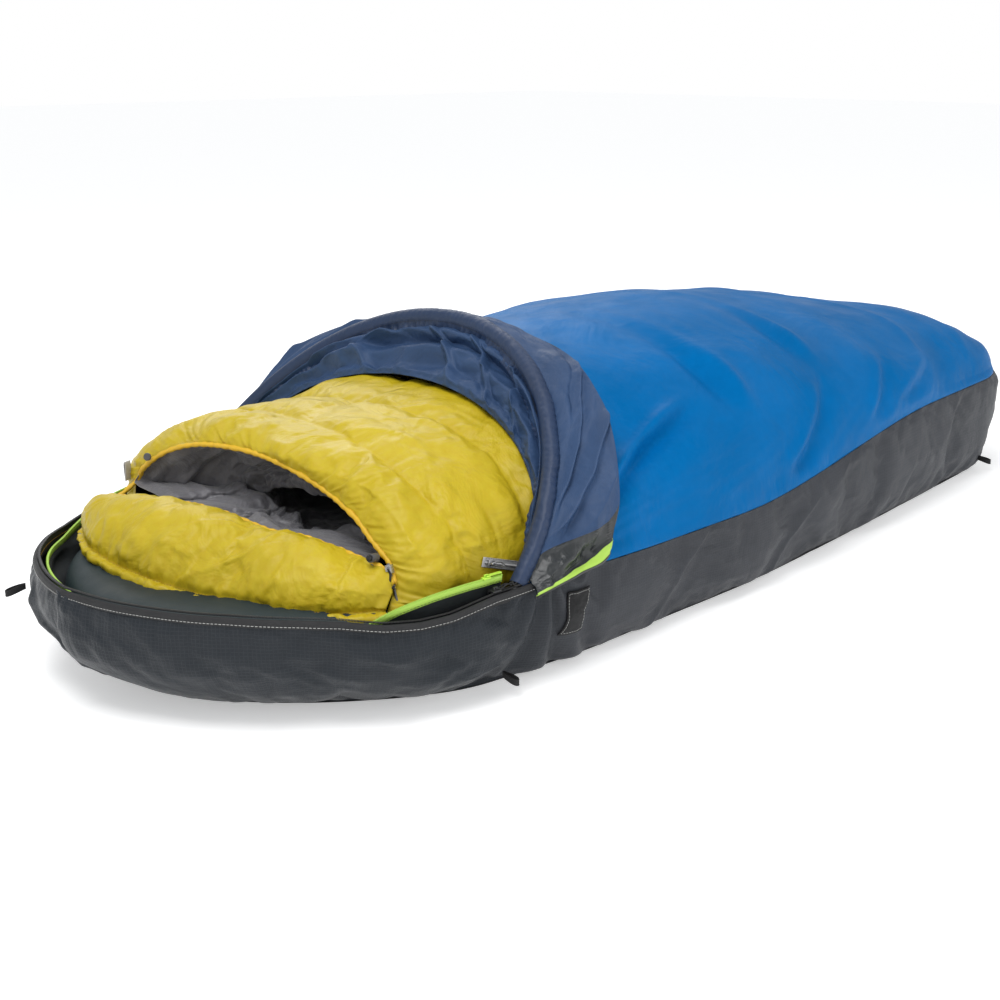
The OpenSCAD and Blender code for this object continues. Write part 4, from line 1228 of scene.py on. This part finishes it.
rows += [mix(neck, chest, q) for q in np.linspace(0, 1, 26)[1:]]
rows += [mix(chest, end, q) for q in np.linspace(0, 1, 16)[1:]]
P = np.array(rows)
N = grid_normals(P, closed_v=True)
mid = P.mean(1, keepdims=True)
N *= np.sign((N * (mid - P)).sum(-1).mean())
i0 = np.arange(len(rows))[:, None] + 0 * lf[None, :]
LFg = np.broadcast_to(lf[None, :], i0.shape)
cyc = xyz(np.cos(LFg) * 2.6, np.sin(LFg) * 2.6, i0 * 0.075)
D = smooth(i0 / 9.0) * (0.012 * fbm(cyc, 121, 2) + 0.009 * ridged(cyc * 1.3, 123, 2.2)
                        + 0.0035 * ridged(cyc * 2.9, 127, 2.0) + 0.0012
                        * ridged(cyc * 7.0, 129, 2.0))
D += 0.020 * np.exp(-((i0 - 38) / 11.0) ** 2) * (0.5 + 0.6
                                                 * noise(xyz(np.cos(LFg) * 1.8, np.sin(LFg) * 1.8,
                                                             5.0), 128))
P = P + N * D[..., None]
lining = grid_mesh("lining_cloth", cad(P), closed_v=True)
cloth_settle(lining, ((i0 < 1) | (i0 > len(rows) - 3)).ravel(), frames=12, pressure=0.6,
             grow=0.05, cap=0.010, stiff=7.0,
             bend=0.03)
lining = paint(thicken(subdivide(lining), 0.0009), "lining")
ride_all("sack", lining)
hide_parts("bag_lining", "bag_draft_collar")

# ---------------------------------------------------------------- the hoop's sleeve and hood

pf = np.radians(np.linspace(2.0, 178.0, 580))
loc = through([(0.0115, 0, 0), (0.0085, 0.0085, 0), (0, 0.0115, 0), (-0.009, 0.0085, 0),
               (-0.015, 0.0035, 0),
               (-0.022, 0.0022, 0), (-0.029, 0.0012, 0), (-0.031, -0.0004, 0),
               (-0.028, -0.0016, 0), (-0.021, -0.0020, 0),
               (-0.015, -0.0040, 0), (-0.009, -0.0085, 0), (0, -0.0115, 0), (0.0085, -0.0085, 0)],
              44, closed=True)
F2, _ = np.meshgrid(pf, np.arange(44), indexing="ij")
G2 = np.broadcast_to(loc[None, :, 0], F2.shape).copy()
B2 = np.broadcast_to(loc[None, :, 1], F2.shape).copy()
S2 = F2 * HOOP_R
skirt_part = smooth((-G2 - 0.008) / 0.015)
tight = xyz(S2 * 55, G2 * 30, B2 * 50)
gather = 0.42 * hash_wave(S2 + 0.25 * G2, 0.013, 131, 6.0) + 1.1 * fbm(tight * 0.7, 133, 2)
B2 += gather * (0.0006 + 0.0026 * skirt_part) + 0.0042 * skirt_part
G2 += gather * 0.0010 * (1 - skirt_part) * np.sign(G2 + 1e-6)
G2 += 0.0020 * skirt_part * noise(xyz(S2 * 22), 134)
trim = smooth((np.sin(F2) - 0.08) / 0.2)
G2 = np.where(G2 < -0.0115, -0.0115 + (G2 + 0.0115) * trim, G2)
r2 = HOOP_R + G2
P = xyz(HX + r2 * np.sin(F2) * math.sin(LEAN) + B2 * math.cos(LEAN), -r2 * np.cos(F2),
        HZ + r2 * np.sin(F2) * math.cos(LEAN) - B2 * math.sin(LEAN))
# The sleeve takes the slate's darker copy, painted shade for its place under the hoop.
sleeve = paint(subdivide(grid_mesh("sleeve_cloth", cad(P), closed_v=True)), "shaded_slate")
face_outwards(sleeve)
thicken(sleeve, 0.0005, -1.0)
hem_f = np.radians(np.linspace(12, 168, 400))
sleeve_thread = paint(stitches("sleeve_stitch", cad(hoop_at(hem_f, -0.0140, -0.0052)),
                               np.broadcast_to([-0.76, 0, 0.65], (400, 3)), 0.005,
                               (0.0032, 0.0007, 0.0006), 0.0006),
                      "dark_thread")
ride_all("hoop", sleeve, sleeve_thread)
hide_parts("pole_sleeve")

# The hood folds back over the hoop: a wing of cloth to its outer edge, and the hem tucked under.
EDGE_F = [3, 5, 8, 12, 16, 20, 28, 40, 60, 75, 90]
EDGE_P = [(0.484, -0.426, 0.143), (0.512, -0.431, 0.150), (0.566, -0.431, 0.157),
          (0.630, -0.430, 0.168),
          (0.648, -0.431, 0.222), (0.656, -0.425, 0.273), (0.676, -0.395, 0.332),
          (0.709, -0.338, 0.374),
          (0.752, -0.238, 0.412), (0.768, -0.120, 0.432), (0.776, 0.0, 0.440)]
edge_fine = through(EDGE_P + [(x, -y, z) for x, y, z in EDGE_P[-2::-1]], 900)
keys = np.array(EDGE_F + [180 - k for k in EDGE_F[-2::-1]], float)
key_s = []
es_all = length_along(edge_fine)
for k in EDGE_P + [(x, -y, z) for x, y, z in EDGE_P[-2::-1]]:
    key_s.append(es_all[np.argmin(np.linalg.norm(edge_fine - k, axis=1))])


def wing_edge(deg):
    s = np.interp(deg, keys, key_s)
    return np.stack([np.interp(s, es_all, edge_fine[:, k]) for k in range(3)], -1)


def wing(deg, r):
    """The folded hood: deg round the hoop, r from the sleeve (0) to the hem (1)."""
    if np.ndim(r) == 1:
        D_, R_ = np.meshgrid(deg, r, indexing="ij")
    else:
        D_, R_ = np.broadcast_to(deg[:, None], r.shape), r
    side_deg = np.minimum(D_, 180 - D_)
    rE = mix(1.0, 0.62, smooth((side_deg - 11.5) / 4.5))
    A = hoop_at(np.radians(np.clip(D_, 4, 176)), 0.009, 0.0065)
    E_ = wing_edge(D_)
    out = xyz(0.25, 0.9 * np.sign(D_ - 90) * np.abs(np.cos(np.radians(D_))) ** 0.7,
              0.15 + 0.9 * np.sin(np.radians(D_)))
    out /= np.linalg.norm(out, axis=-1, keepdims=True)
    U_ = mix(E_, A, 0.42) - out * 0.0075
    q = np.clip(R_ / rE, 0, 1)[..., None]
    w = np.clip((R_ - rE) / np.maximum(1 - rE, 1e-3), 0, 1)[..., None]
    top_layer = mix(A, E_, q) + out * (0.007 * np.sin(np.pi * q) ** 0.8)
    under = mix(E_, U_, w) - out * 0.0035 * smooth(w / 0.2) * (w > 0)
    p = np.where(R_[..., None] <= rE[..., None], top_layer, under)
    rays = fan(p[..., 0], p[..., 2], 0.50, 0.135, 7.0, 140, 1.3)
    fold = 0.0120 * (rays - 0.5) * smooth((side_deg - 3)
                                          / 12) * np.sin(np.pi * np.clip(q[..., 0], 0, 1)) ** 0.7
    fold += 0.0055 * fbm(xyz(D_ / 11, R_ * 3.0), 141,
                         3) * np.sin(np.pi * np.clip(q[..., 0], 0, 1)) ** 0.5
    across = np.clip(q[..., 0], 0, 1)
    for foot_deg, edge_deg, sharp, high in ((12.5, 35.0, 1.5, 0.012), (20.0, 58.0, 2.0, 0.008),
                                            (9.0, 22.0, 1.2, 0.006)):
        off = np.abs(side_deg - mix(foot_deg, edge_deg, across)) / sharp
        fold += high * (np.exp(-off) - 0.45
                        * np.exp(-(off - 3.2) ** 2
                                 / 3)) * smooth(across / 0.15) * smooth((1 - across) / 0.1)
    near_low = smooth((20 - side_deg) / 6) * smooth((R_ - 0.03) / 0.15)
    fold += near_low * (0.0055 * ridged(xyz(p[..., 0] * 34, p[..., 2] * 26), 143, 1.6)
                        + 0.0025
                        * fbm(xyz(p[..., 0] * 50, p[..., 2] * 40), 145,
                              2)) * smooth((0.84 - R_) / 0.06)
    fold += 0.0011 * np.sin(D_ * 1.9) * (R_ > 0.9) * smooth((side_deg - 4) / 4)
    return p + out * fold[..., None]


def flap_share(deg):
    """Where along the wing the plain cloth gives way to the coated skirt."""
    return 0.62 * smooth((np.minimum(deg, 180 - deg) - 8.5) / 9.5) + 0.001


deg = np.concatenate([np.linspace(3.2, 32, 110), np.linspace(32, 148, 190)[1:-1],
                      np.linspace(148, 176.8, 110)])
r_unit = np.concatenate([np.linspace(0, 0.48, 26), np.linspace(0.48, 1.0, 24)[1:]])[None, :]
r_flap = r_unit * flap_share(deg)[:, None]
r_skirt = mix(flap_share(deg)[:, None], SKIRT_END, np.linspace(0, 1, 34)[None, :])
hood_bits = []
# The undersides take the slate's darker copy, painted shade.
for name, r, keys2, node_name, slot_name in (
        ("flap_cloth", r_flap, ("slate", "shaded_slate"), "hood_flap", "hood_lining"),
        ("skirt_cloth", r_skirt, ("skirt", "shaded_slate"), "flap_skirt", "skirt_fabric"),
        ("hem_tape", np.linspace(SKIRT_END, HEM_END, 10), ("neon", "neon"), "flap_zip_tape",
         "zip_tape_green")):
    ob = grid_mesh(name, cad(wing(deg, r)))
    ob = thicken(subdivide(ob), 0.0011 if name != "hem_tape" else 0.0018, 0.0, 1, 0)
    paint(ob, *keys2)
    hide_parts(node_name)
    hood_bits.append(ob)
W = wing(deg, np.array([SKIRT_END, 0.83, 0.975, 1.0, 1.0]))
hem_line = cad(W[:, 3])
hem_teeth_at = resample(hem_line + np.array([0, 0, -0.0004]), 0.0022)
t, s_, u_ = frames_along(hem_teeth_at)
hem_teeth = beads("hem_coil", hem_teeth_at, s_, u_, t, (0.0015, 0.0036, 0.0046))
binding = thicken(grid_mesh("hem_binding", cad(wing(deg, np.linspace(0.950, 1.0, 6)))), 0.0034, 0.0)
hem_teeth = paint(join("hem_coil", [hem_teeth, binding]), "coil")
grain = grid_normals(W)
hem_thread = paint(stitches("hem_stitch", cad(W[:, 1]), grain[:, 1], 0.0048,
                            (0.0032, 0.0007, 0.0014), 0.0),
                   "dark_thread")
hood_bits += [hem_teeth, hem_thread]
for ob in hood_bits:
    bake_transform(ob)

# The spare cloth, in a swag under the hoop.
sf = np.radians(np.linspace(7, 173, 260))
sr = np.linspace(0, 1, 60)
FF, RR = np.meshgrid(sf, sr, indexing="ij")
top_r = HOOP_R - 0.020
sn = np.sin(FF)
rim = xyz(HX + top_r * sn * math.sin(LEAN) + 0.008, -top_r * np.cos(FF),
          HZ + top_r * sn * math.cos(LEAN))
low = xyz(HX + 0.150 * sn ** 0.8 + 0.020, -(top_r - 0.006) * np.cos(FF), 0.124 + 0.239 * sn ** 0.8)
P = mix(rim, low, RR[..., None])
P[..., 0] += 0.014 * np.sin(np.pi * RR) * sn ** 3
N = grid_normals(P)
N *= np.sign(N[..., 0].mean()) * -1
fd = np.degrees(FF)
run = RR * 1.55 + 0.30 * np.sin(FF * 1.0) + 0.10 * noise(xyz(fd / 26, RR * 1.5), 151)
long_fold = np.abs(np.cos(np.pi * run * 1.6)) ** 1.5
peaks = ridged(xyz(fd / 15.0 + RR * 1.4, RR * 1.0 - fd / 60.0), 153, 1.8)
win = np.sin(np.pi * np.clip(RR, 0, 1)) ** 0.7
D = win * (0.020 * long_fold - 0.004) * smooth(sn
                                               / 0.5) + win * 0.016 * peaks * sn + 0.004 * win * fbm(
    xyz(fd / 9, RR * 4), 155, 2)
P = P + N * (D * smooth((fd - 5) / 10) * smooth((175 - fd) / 10))[..., None]
curl = smooth((RR - 0.93) / 0.07)
P[..., 2] -= 0.004 * curl
P[..., 0] += 0.007 * curl
drape = grid_mesh("swag_cloth", cad(P))
cloth_settle(drape, ((RR < 0.02) | (RR > 0.985)).ravel(), frames=14, pressure=-0.4, grow=0.05,
             cap=0.010, stiff=6.0,
             bend=0.15)
drape = thicken(subdivide(drape), 0.0010, 0.0)
drape = paint(drape, "slate")
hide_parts("hood_drape")
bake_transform(drape)

# ---------------------------------------------------------------- small parts


def rework(node, name, key, bevel=0.0003, segments=2):
    """The shape of a CAD part with rounded edges and its own finish."""
    src = frame["nodes"][node]
    me = src.data.copy()
    ob = bpy.data.objects.new(name, me)
    scene.collection.objects.link(ob)
    bm = bmesh.new()
    bm.from_mesh(me)
    bmesh.ops.remove_doubles(bm, verts=bm.verts, dist=1e-5)
    bmesh.ops.dissolve_limit(bm, angle_limit=math.radians(2.0), verts=bm.verts, edges=bm.edges)
    bm.to_mesh(me)
    bm.free()
    m = ob.modifiers.new("round", "BEVEL")
    m.width, m.segments, m.limit_method, m.angle_limit = bevel, segments, "ANGLE", math.radians(32)
    bake(ob)
    bm = bmesh.new()
    bm.from_mesh(ob.data)
    for e in bm.edges:
        e.smooth = len(e.link_faces) == 2 and e.calc_face_angle(0) < math.radians(35)
    bm.to_mesh(ob.data)
    bm.free()
    paint(ob, key)
    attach(ob, src["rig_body"])
    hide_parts(node)
    return ob


for node_name, name, key, slot_name, width in (
        ("rim_slider_near", "rim_slider_near_cast", "plastic", "plastic_black", 0.0005),
        ("rim_slider_far", "rim_slider_far_cast", "plastic", "plastic_black", 0.0005),
        ("mesh_slider", "mesh_slider_cast", "green_plastic", "plastic_green", 0.0004),
        ("mesh_pull", "mesh_pull_tag", "green_plastic", "plastic_green", 0.0004),
        ("bag_zip_slider", "bag_slider_cast", "zinc", "zinc_slider", 0.0005),
        ("hood_cord_lock", "cord_lock_body", "grey_plastic", "plastic_grey", 0.0007),
        ("cord_lock_button", "cord_lock_plunger", "plastic", "plastic_black", 0.0007),
        ("pocket_zip_slider", "pocket_slider_cast", "zinc", "zinc_slider", 0.0004),
        ("hood_snap", "snap_cap", "grey_plastic", "plastic_black", 0.0010),
        ("pole_ferrules", "ferrule_turned", "alloy", "pole_alloy", 0.0002),
        ("pole_tips", "tip_moulded", "plastic", "plastic_black", 0.0002)):
    rework(node_name, name, key, width)

for node_name, key in (("foot_seam_tape", "silver"), ("care_label", "label"),
                       ("pole_segment_near", "alloy"), ("pole_segment_crown", "alloy"),
                       ("pole_segment_far", "alloy"),
                       ("shock_cord", "rubber"), ("bag_zip_coil", "grey_coil"),
                       ("pole_pockets", "webbing")):
    ob = frame["nodes"][node_name]
    ob.data.materials.clear()
    ob.data.materials.append(M[key])


def ribbon(name, path, width_dir, width, thick, closed=False):
    """A band of webbing along a path, lying flat across width_dir, with a thickened selvedge."""
    P = np.asarray(path, float)
    w = np.asarray(width_dir, float)
    w = w / np.linalg.norm(w)
    if closed:
        t = np.roll(P, -1, 0) - np.roll(P, 1, 0)
    else:
        t = np.gradient(P, axis=0)
    t /= np.linalg.norm(t, axis=1, keepdims=True)
    n = np.cross(t, w)
    n /= np.linalg.norm(n, axis=1, keepdims=True)
    h, e = width / 2, thick / 2
    prof = [(-h, 0), (-h + e * 0.5, e), (-h * 0.8, e * 1.15), (-h * 0.5, e * 0.85), (0, e),
            (h * 0.5, e * 0.85),
            (h * 0.8, e * 1.15), (h - e * 0.5, e), (h, 0), (h - e * 0.5, -e),
            (h * 0.8, -e * 1.15), (h * 0.5, -e * 0.85),
            (0, -e), (-h * 0.5, -e * 0.85), (-h * 0.8, -e * 1.15), (-h + e * 0.5, -e)]
    q = np.array(prof)
    G = P[:, None, :] + q[None, :, :1] * w + q[None, :, 1:] * n[:, None, :]
    ob = grid_mesh(name, G, closed_u=closed, closed_v=True)
    face_outwards(ob)
    return ob


def eye_path(start, out, spread, long, droop):
    """A flat eye of webbing that leaves a place, turns and comes back."""
    start, out, spread = (np.asarray(v, float) for v in (start, out, spread))
    pts = []
    for a in np.linspace(0.0, 2 * np.pi, 60, endpoint=False):
        u = 0.5 * long * (1 - math.cos(a))
        v = spread * math.sin(a) * (0.25 + 0.75 * math.sin(a / 2) ** 2)
        pts.append(start + out * u + v + np.array([0, 0, -droop * (u / long) ** 1.5]))
    return np.array(pts)


def node_mid(node, pick=None):
    co = np.array([v.co for v in frame["nodes"][node].data.vertices])
    if pick is not None:
        co = co[pick(co)]
    return (co.min(0) + co.max(0)) / 2


loops = []
for pick, out in ((lambda c: c[:, 0] < -1.0, (-1, 0, 0)),
                  (lambda c: (c[:, 0] > -0.9) & (c[:, 0] < 0) & (c[:, 1] < 0), (0, -1, 0)),
                  (lambda c: (c[:, 0] > -0.9) & (c[:, 0] < 0) & (c[:, 1] > 0), (0, 1, 0)),
                  (lambda c: (c[:, 0] > 0) & (c[:, 1] < 0), (0, -1, 0)),
                  (lambda c: (c[:, 0] > 0) & (c[:, 1] > 0), (0, 1, 0))):
    mid = node_mid("stake_loops", pick)
    out = np.array(out, float)
    spread = np.array([out[1], -out[0], 0]) * 0.0062
    loops.append(ribbon("loop", eye_path(mid - out * 0.020, out, spread, 0.030, 0.004), (0, 0, 1),
                        0.0095, 0.0016, True))
stake = paint(join("stake_webbing", loops), "webbing")
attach(stake, "sack")
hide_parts("stake_loops")
mid = node_mid("guy_loop")
guy = paint(ribbon("guy_webbing",
                   eye_path(mid - np.array([0.020, 0, 0]), (1, 0, 0), (0, 0.0062, 0), 0.036, 0.004),
                   (0, 0, 1), 0.0095, 0.0016, True), "webbing")
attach(guy, "sack")
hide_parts("guy_loop")


def pull_axes(node_slider, node_pull):
    """Where a pull's wire is, and the directions along, across and away from its slider."""
    a = np.array([v.co for v in frame["nodes"][node_pull].data.vertices])
    c = a.mean(0)
    _, _, vt = np.linalg.svd(a - c, full_matrices=False)
    along = vt[0]
    root = node_mid(node_slider)
    if (c - root) @ along < 0:
        along = -along
    across = vt[1] - along * (vt[1] @ along)
    across /= np.linalg.norm(across)
    away = np.cross(along, across)
    reach = (a - c) @ along
    return c + along * reach.min(), along, across, away, float(reach.max() - reach.min())


def cord_pull(node_slider, node_pull, name, key, radius=0.0011, knot=0.0034,
              extra=0.006, wave=0.0016):
    """A loop of thin cord through the slider's bridge, knotted near its end."""
    root, along, across, away, long = pull_axes(node_slider, node_pull)
    long += extra
    pts = []
    for q in np.linspace(0, 1, 40):
        spread = 0.0026 * math.sin(math.pi * min(1, q * 1.25)) if q < 0.8 else 0.0
        pts.append(root + along * (0.0008 + q * long * 0.80) + across * spread + away * wave
                   * math.sin(q * 7))
    first = np.array(pts)
    second = first - 2 * ((first - root) @ across)[:, None] * across
    parts = [tube(name, first, radius, 10, up=away), tube(name + "_b", second, radius, 10, up=away)]
    centre = root + along * (long * 0.82)
    a = np.linspace(0, 2 * np.pi, 60, endpoint=False)
    knot_path = centre + np.outer(np.sin(a) + 1.1 * np.sin(2 * a), across) * knot * 0.42 \
        + np.outer(np.cos(a) - 1.1 * np.cos(2 * a),
                   along) * knot * 0.42 - np.outer(np.sin(3 * a), away) * knot * 0.36
    parts.append(tube(name + "_k", knot_path, radius * 1.05, 10, up=away, closed=True))
    for sgn in (1, -1):
        q = np.linspace(0, 1, 12)[:, None]
        tail = centre + along * q * long * 0.17 + across * sgn * 0.0022 * (1
                                                                           + q) + away * 0.001 * np.sin(q * 5)
        parts.append(tube(name + "_t", tail, radius * 0.95, 10, up=away))
    ob = paint(join(name, parts), key)
    face_outwards(ob)
    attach(ob, frame["nodes"][node_pull]["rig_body"])
    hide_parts(node_pull)
    return ob


cord_pull("rim_slider_near", "rim_pull_near", "rim_cord_near", "cord")
cord_pull("rim_slider_far", "rim_pull_far", "rim_cord_far", "cord", knot=0.0042,
          extra=0.014, wave=0.003)
cord_pull("bag_zip_slider", "bag_zip_pull", "bag_cord_pull", "webbing",
          radius=0.0016, knot=0.0040, extra=0.002)


def wire_pull(node_slider, node_pull, name, key, radius=0.0008):
    """A bent wire loop that hangs from the slider."""
    root, along, across, away, long = pull_axes(node_slider, node_pull)
    a = np.linspace(0, 2 * np.pi, 60, endpoint=False)
    wide = 0.0024 + 0.0012 * (1 - np.cos(a)) / 2
    path = root + np.outer((1 - np.cos(a)) / 2 * long, along) + across * (wide * np.sin(a))[:, None]
    ob = paint(tube(name, path, radius, 12, up=away, closed=True), key)
    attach(ob, frame["nodes"][node_pull]["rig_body"])
    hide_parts(node_pull)
    return ob


wire_pull("pocket_zip_slider", "pocket_zip_pull", "pocket_wire_pull", "zinc")


def slab(node):
    """Middle, axes (longest first) and extents of a part; the shortest axis faces the near side."""
    co = coords(frame["nodes"][node])
    axes = np.linalg.svd(co - co.mean(0), full_matrices=False)[2]
    size = np.ptp(co @ axes.T, axis=0)
    axes = axes[np.argsort(-size)]
    axes[2] *= 1 if axes[2] @ np.array((0, -1, 0), float) >= 0 else -1
    lo, hi = (co @ axes.T).min(0), (co @ axes.T).max(0)
    return (lo + hi) / 2 @ axes, axes, hi - lo


def patch(name, mid, axes, size, depth, crumple, seed):
    """A sewn rectangle with soft corners, a little crumpled, and its row of border stitches."""
    a, b = np.meshgrid(np.linspace(-1, 1, 46), np.linspace(-1, 1, 30), indexing="ij")
    P = mid + (a * size[0] / 2)[..., None] * axes[0] + (b * size[1] / 2)[..., None] * axes[1]
    puff = crumple * (fbm(P * 34, seed, 3) + 0.6
                      * ridged(P * 22, seed + 1, 2.0)) - 0.5 * crumple * (np.abs(a) > 0.9)
    P = P + puff[..., None] * axes[2] + (depth / 2) * axes[2]
    ob = thicken(grid_mesh(name, P), depth, -1.0)
    ring = np.linspace(0, 2 * np.pi, 240)
    c, s_ = np.cos(ring), np.sin(ring)
    k = 0.90 / np.maximum(np.abs(c), np.abs(s_))
    edge_line = mid + np.outer(k * c * size[0] / 2,
                               axes[0]) + np.outer(k * s_ * size[1] / 2, axes[1]) \
        + axes[2] * (depth / 2 + crumple * 0.8)
    return ob, stitches(name + "_thread", edge_line, np.broadcast_to(axes[2], edge_line.shape),
                        0.0042,
                        (0.0028, 0.0006, 0.0006), 0.0002)


def on_wall(x, z, side, lift):
    """Points on the tub's own cloth at a distance from the head and a height, raised by lift."""
    rows = np.where(np.sign(OUTLINE[:, 1]) == side)[0]
    rows = rows[(OUTLINE[rows, 0] > 0.3) & (OUTLINE[rows, 0] < 0.9)]
    rows = rows[np.argsort(OUTLINE[rows, 0])]
    k = np.interp(x, OUTLINE[rows, 0], np.arange(len(rows)))
    out = []
    for step in (0, 1):
        q = WALL[rows[np.minimum(np.floor(k).astype(int) + step, len(rows) - 1)]][:, ::-1]
        out.append(np.array([[np.interp(zz, row[:, 2], row[:, c]) for c in range(3)] for zz,
                             row in zip(z, q)]))
    p = mix(out[0], out[1], (k % 1.0)[:, None])
    return p + np.array([0, side * lift, 0.0])


cloths, threads = [], []
for side in (-1, 1):
    a, b = np.meshgrid(np.linspace(0.558, 0.600, 34), np.linspace(0.064, 0.126, 46), indexing="ij")
    lean = (a + 0.25 * (b - 0.095)).ravel()
    P = on_wall(lean, b.ravel(), side, 0.0030).reshape(a.shape + (3,))
    P[..., 1] += side * 0.0007 * fbm(P * 60, 161, 2)
    cloths.append(thicken(grid_mesh("hook_patch", P, flip=side > 0), 0.0018, 0.0))
    ring = np.linspace(0, 2 * np.pi, 240)
    k = 0.90 / np.maximum(np.abs(np.cos(ring)), np.abs(np.sin(ring)))
    zz = 0.095 + k * 0.031 * np.sin(ring)
    line = on_wall(0.579 + k * 0.021 * np.cos(ring) + 0.25 * (zz - 0.095), zz, side, 0.0044)
    threads.append(stitches("patch_thread", line, np.broadcast_to([0.0, side, 0.0], line.shape),
                            0.0042,
                            (0.0028, 0.0007, 0.0007), 0.0002))
patches = paint(join("hook_patch_pair", cloths), "hook")
patch_thread = paint(join("hook_patch_thread", threads), "thread")
ride_all("sack", patches, patch_thread)
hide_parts("hook_patches")

mid, axes, size = slab("pocket_zip_tape")
ob, thread = patch("pocket_tape", mid - axes[2] * (size[2] / 2 - 0.0006), axes,
                   (size[0], size[1], 0.0012), 0.0011, 0.0003, 171)
axis_line = np.linspace(-1, 1, 120)[:, None] * (size[0] / 2
                                                - 0.004) * axes[0] + mid + axes[2] * (size[2] / 2
                                                                                      - 0.0020)
at = resample(axis_line, 0.0015)
t, s_, u_ = frames_along(at, up=tuple(axes[2]))
pocket_coil = beads("pocket_coil", at, s_, u_, t, (0.0011, 0.0032, 0.0022))
pocket = paint(join("pocket_zip_band", [ob, pocket_coil]), "silver")
pocket_thread = paint(thread, "dark_thread")
ride_all("sack", pocket, pocket_thread)
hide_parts("pocket_zip_tape")

mid, axes, size = slab("hang_tab")
tab = paint(ribbon("hang_ribbon",
                   eye_path(mid - axes[0] * size[0] / 2, axes[0], axes[2] * 0.0020, size[0], 0.0),
                   tuple(axes[1]), size[1] * 0.96, 0.0010, True), "silver")
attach(tab, frame["nodes"]["hang_tab"]["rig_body"])
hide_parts("hang_tab")

mid, axes, size = slab("hanging_ring")
turn = np.linspace(0, 2 * np.pi, 72, endpoint=False)
oval = mid + np.outer(np.cos(turn) * (size[0] / 2 - 0.0011),
                      axes[0]) + np.outer(np.sin(turn) * (size[1] / 2 - 0.0011), axes[1])
ring_cast = paint(tube("ring_cast", oval, 0.0011, 14, up=tuple(axes[2]), closed=True), "zinc")
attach(ring_cast, frame["nodes"]["hanging_ring"]["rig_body"])
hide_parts("hanging_ring")
rework("ring_tab", "ring_tab_fold", "slate", 0.0006, 3)
rework("toggle_tag", "toggle_tag_sewn", "label", 0.0009, 3)

# ---------------------------------------------------------------- floor

bpy.ops.mesh.primitive_plane_add(size=40.0, location=(0, 0, -0.0004))
ground = bpy.context.object
ground.name = "studio_floor"
g = Nodes("studio_floor")
g.finish((0.92, 0.92, 0.92, 1.0), 0.9, Emission_Color=(1, 1, 1, 1), Emission_Strength=0.40)
ground.data.materials.append(g.mat)
